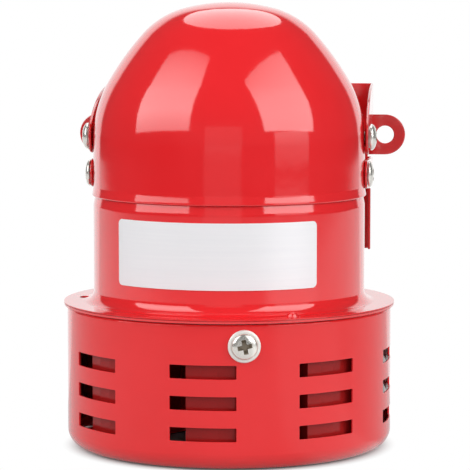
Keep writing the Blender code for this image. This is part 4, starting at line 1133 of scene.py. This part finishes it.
def softbox(name, place, turn, tilt, size, level, roll=0.0, shares=None, in_gloss=True, oval=False):
    """Rectangular or oval lamp: its place, where it shines from, its size, brightness and roll."""
    width, height = size
    lamp = bpy.data.lights.new(name, "AREA")
    lamp.shape = "ELLIPSE" if oval else "RECTANGLE"
    lamp.size = width
    lamp.size_y = height
    area = width * height * (math.pi / 4 if oval else 1.0)
    lamp.energy = level * math.pi * area
    if shares:
        shade_lamp(lamp, shares)
    obj = bpy.data.objects.new(name, lamp)
    away = on_circle(math.cos(math.radians(tilt)), turn, math.sin(math.radians(tilt)))
    spin = Matrix.Rotation(math.radians(roll), 3, "Z")
    facing_out = away.to_track_quat("Z", "Y").to_matrix() @ spin
    obj.matrix_world = Matrix.Translation(place) @ facing_out.to_4x4()
    obj.visible_glossy = in_gloss
    bpy.context.scene.collection.objects.link(obj)


def white_world():
    """White behind the object for the camera and for gloss, and dim all round."""
    world = bpy.data.worlds.new("studio")
    bpy.context.scene.world = world
    world.use_nodes = True
    tree = world.node_tree
    dim = tree.nodes["Background"]
    dim.inputs["Color"].default_value = (1.0, 1.0, 1.0, 1.0)
    dim.inputs["Strength"].default_value = WORLD_DIM
    white = add(tree, "ShaderNodeBackground", Color=(1.0, 1.0, 1.0, 1.0), Strength=1.0)
    where = tree.nodes.new("ShaderNodeTexCoord")
    split = tree.nodes.new("ShaderNodeSeparateXYZ")
    tree.links.new(where.outputs["Generated"], split.inputs["Vector"])
    behind = facing_back(tree, where.outputs["Generated"])
    low = fade(tree, split.outputs["Z"], *BACKDROP_TOP, 1.0, 0.0)
    path = tree.nodes.new("ShaderNodeLightPath")
    backdrop = combine(tree, "MULTIPLY", behind, low)
    gloss = combine(tree, "MULTIPLY", backdrop, path.outputs["Is Glossy Ray"])
    mix = tree.nodes.new("ShaderNodeMixShader")
    tree.links.new(combine(tree, "MAXIMUM", seen_directly(tree, path), gloss), mix.inputs["Fac"])
    tree.links.new(dim.outputs["Background"], mix.inputs[1])
    tree.links.new(white.outputs["Background"], mix.inputs[2])
    tree.links.new(mix.outputs["Shader"], tree.nodes["World Output"].inputs["Surface"])


def photo_camera():
    """Camera where the photo was taken from."""
    camera = bpy.data.cameras.new("photo_camera")
    camera.sensor_width = CAMERA_SENSOR
    camera.lens = CAMERA_LENS
    camera.shift_x = CAMERA_SHIFT
    camera.clip_start = 0.01
    camera.clip_end = 50.0
    obj = bpy.data.objects.new("photo_camera", camera)
    turn = math.radians(CAMERA_TURN)
    obj.location = (CAMERA_DISTANCE * math.sin(turn), -CAMERA_DISTANCE * math.cos(turn), CAMERA_HEIGHT)
    obj.rotation_euler = (math.radians(90.0) - CAMERA_PITCH, 0.0, turn)
    bpy.context.scene.collection.objects.link(obj)
    bpy.context.scene.camera = obj


stage_floor()
softbox("left_softbox", (-0.810, -0.374, 0.882), -38.9, 16.4, (1.02, 1.33), 3.05, 5.0, LEFT_SHARES)
softbox("right_softbox", (0.793, -0.490, 0.836), 63.0, 24.4, (0.98, 1.19), 2.9, -6.0, RIGHT_SHARES)
softbox("top_panel", (-0.02, 0.79, 1.10), 0.0, 90.0, (1.02, 1.50), 2.05, oval=True)
softbox("front_panel", (-0.005, -1.60, 0.20), 0.0, 0.0, (0.88, 0.72), 0.22)
softbox("right_glow", (1.00, -0.62, 0.145), 58.0, 0.0, (0.66, 0.29), 1.2, shares=GLOW_SHARES)
# Fills that light the object but don't show in its gloss
softbox("front_fill", (0.03, -1.80, 0.34), 0.0, 8.0, (2.8, 0.9), 1.6, in_gloss=False)
softbox("left_fill", (-1.60, -0.30, 0.30), -80.0, 8.0, (1.2, 0.8), 0.8, in_gloss=False)
softbox("right_fill", (1.60, -0.30, 0.30), 80.0, 8.0, (1.2, 0.8), 1.4, in_gloss=False)
softbox("back_fill", (0.0, 1.70, 0.55), 180.0, 14.0, (2.4, 1.0), 1.1, in_gloss=False)
white_world()
photo_camera()
bpy.context.scene.view_settings.view_transform = "Standard"
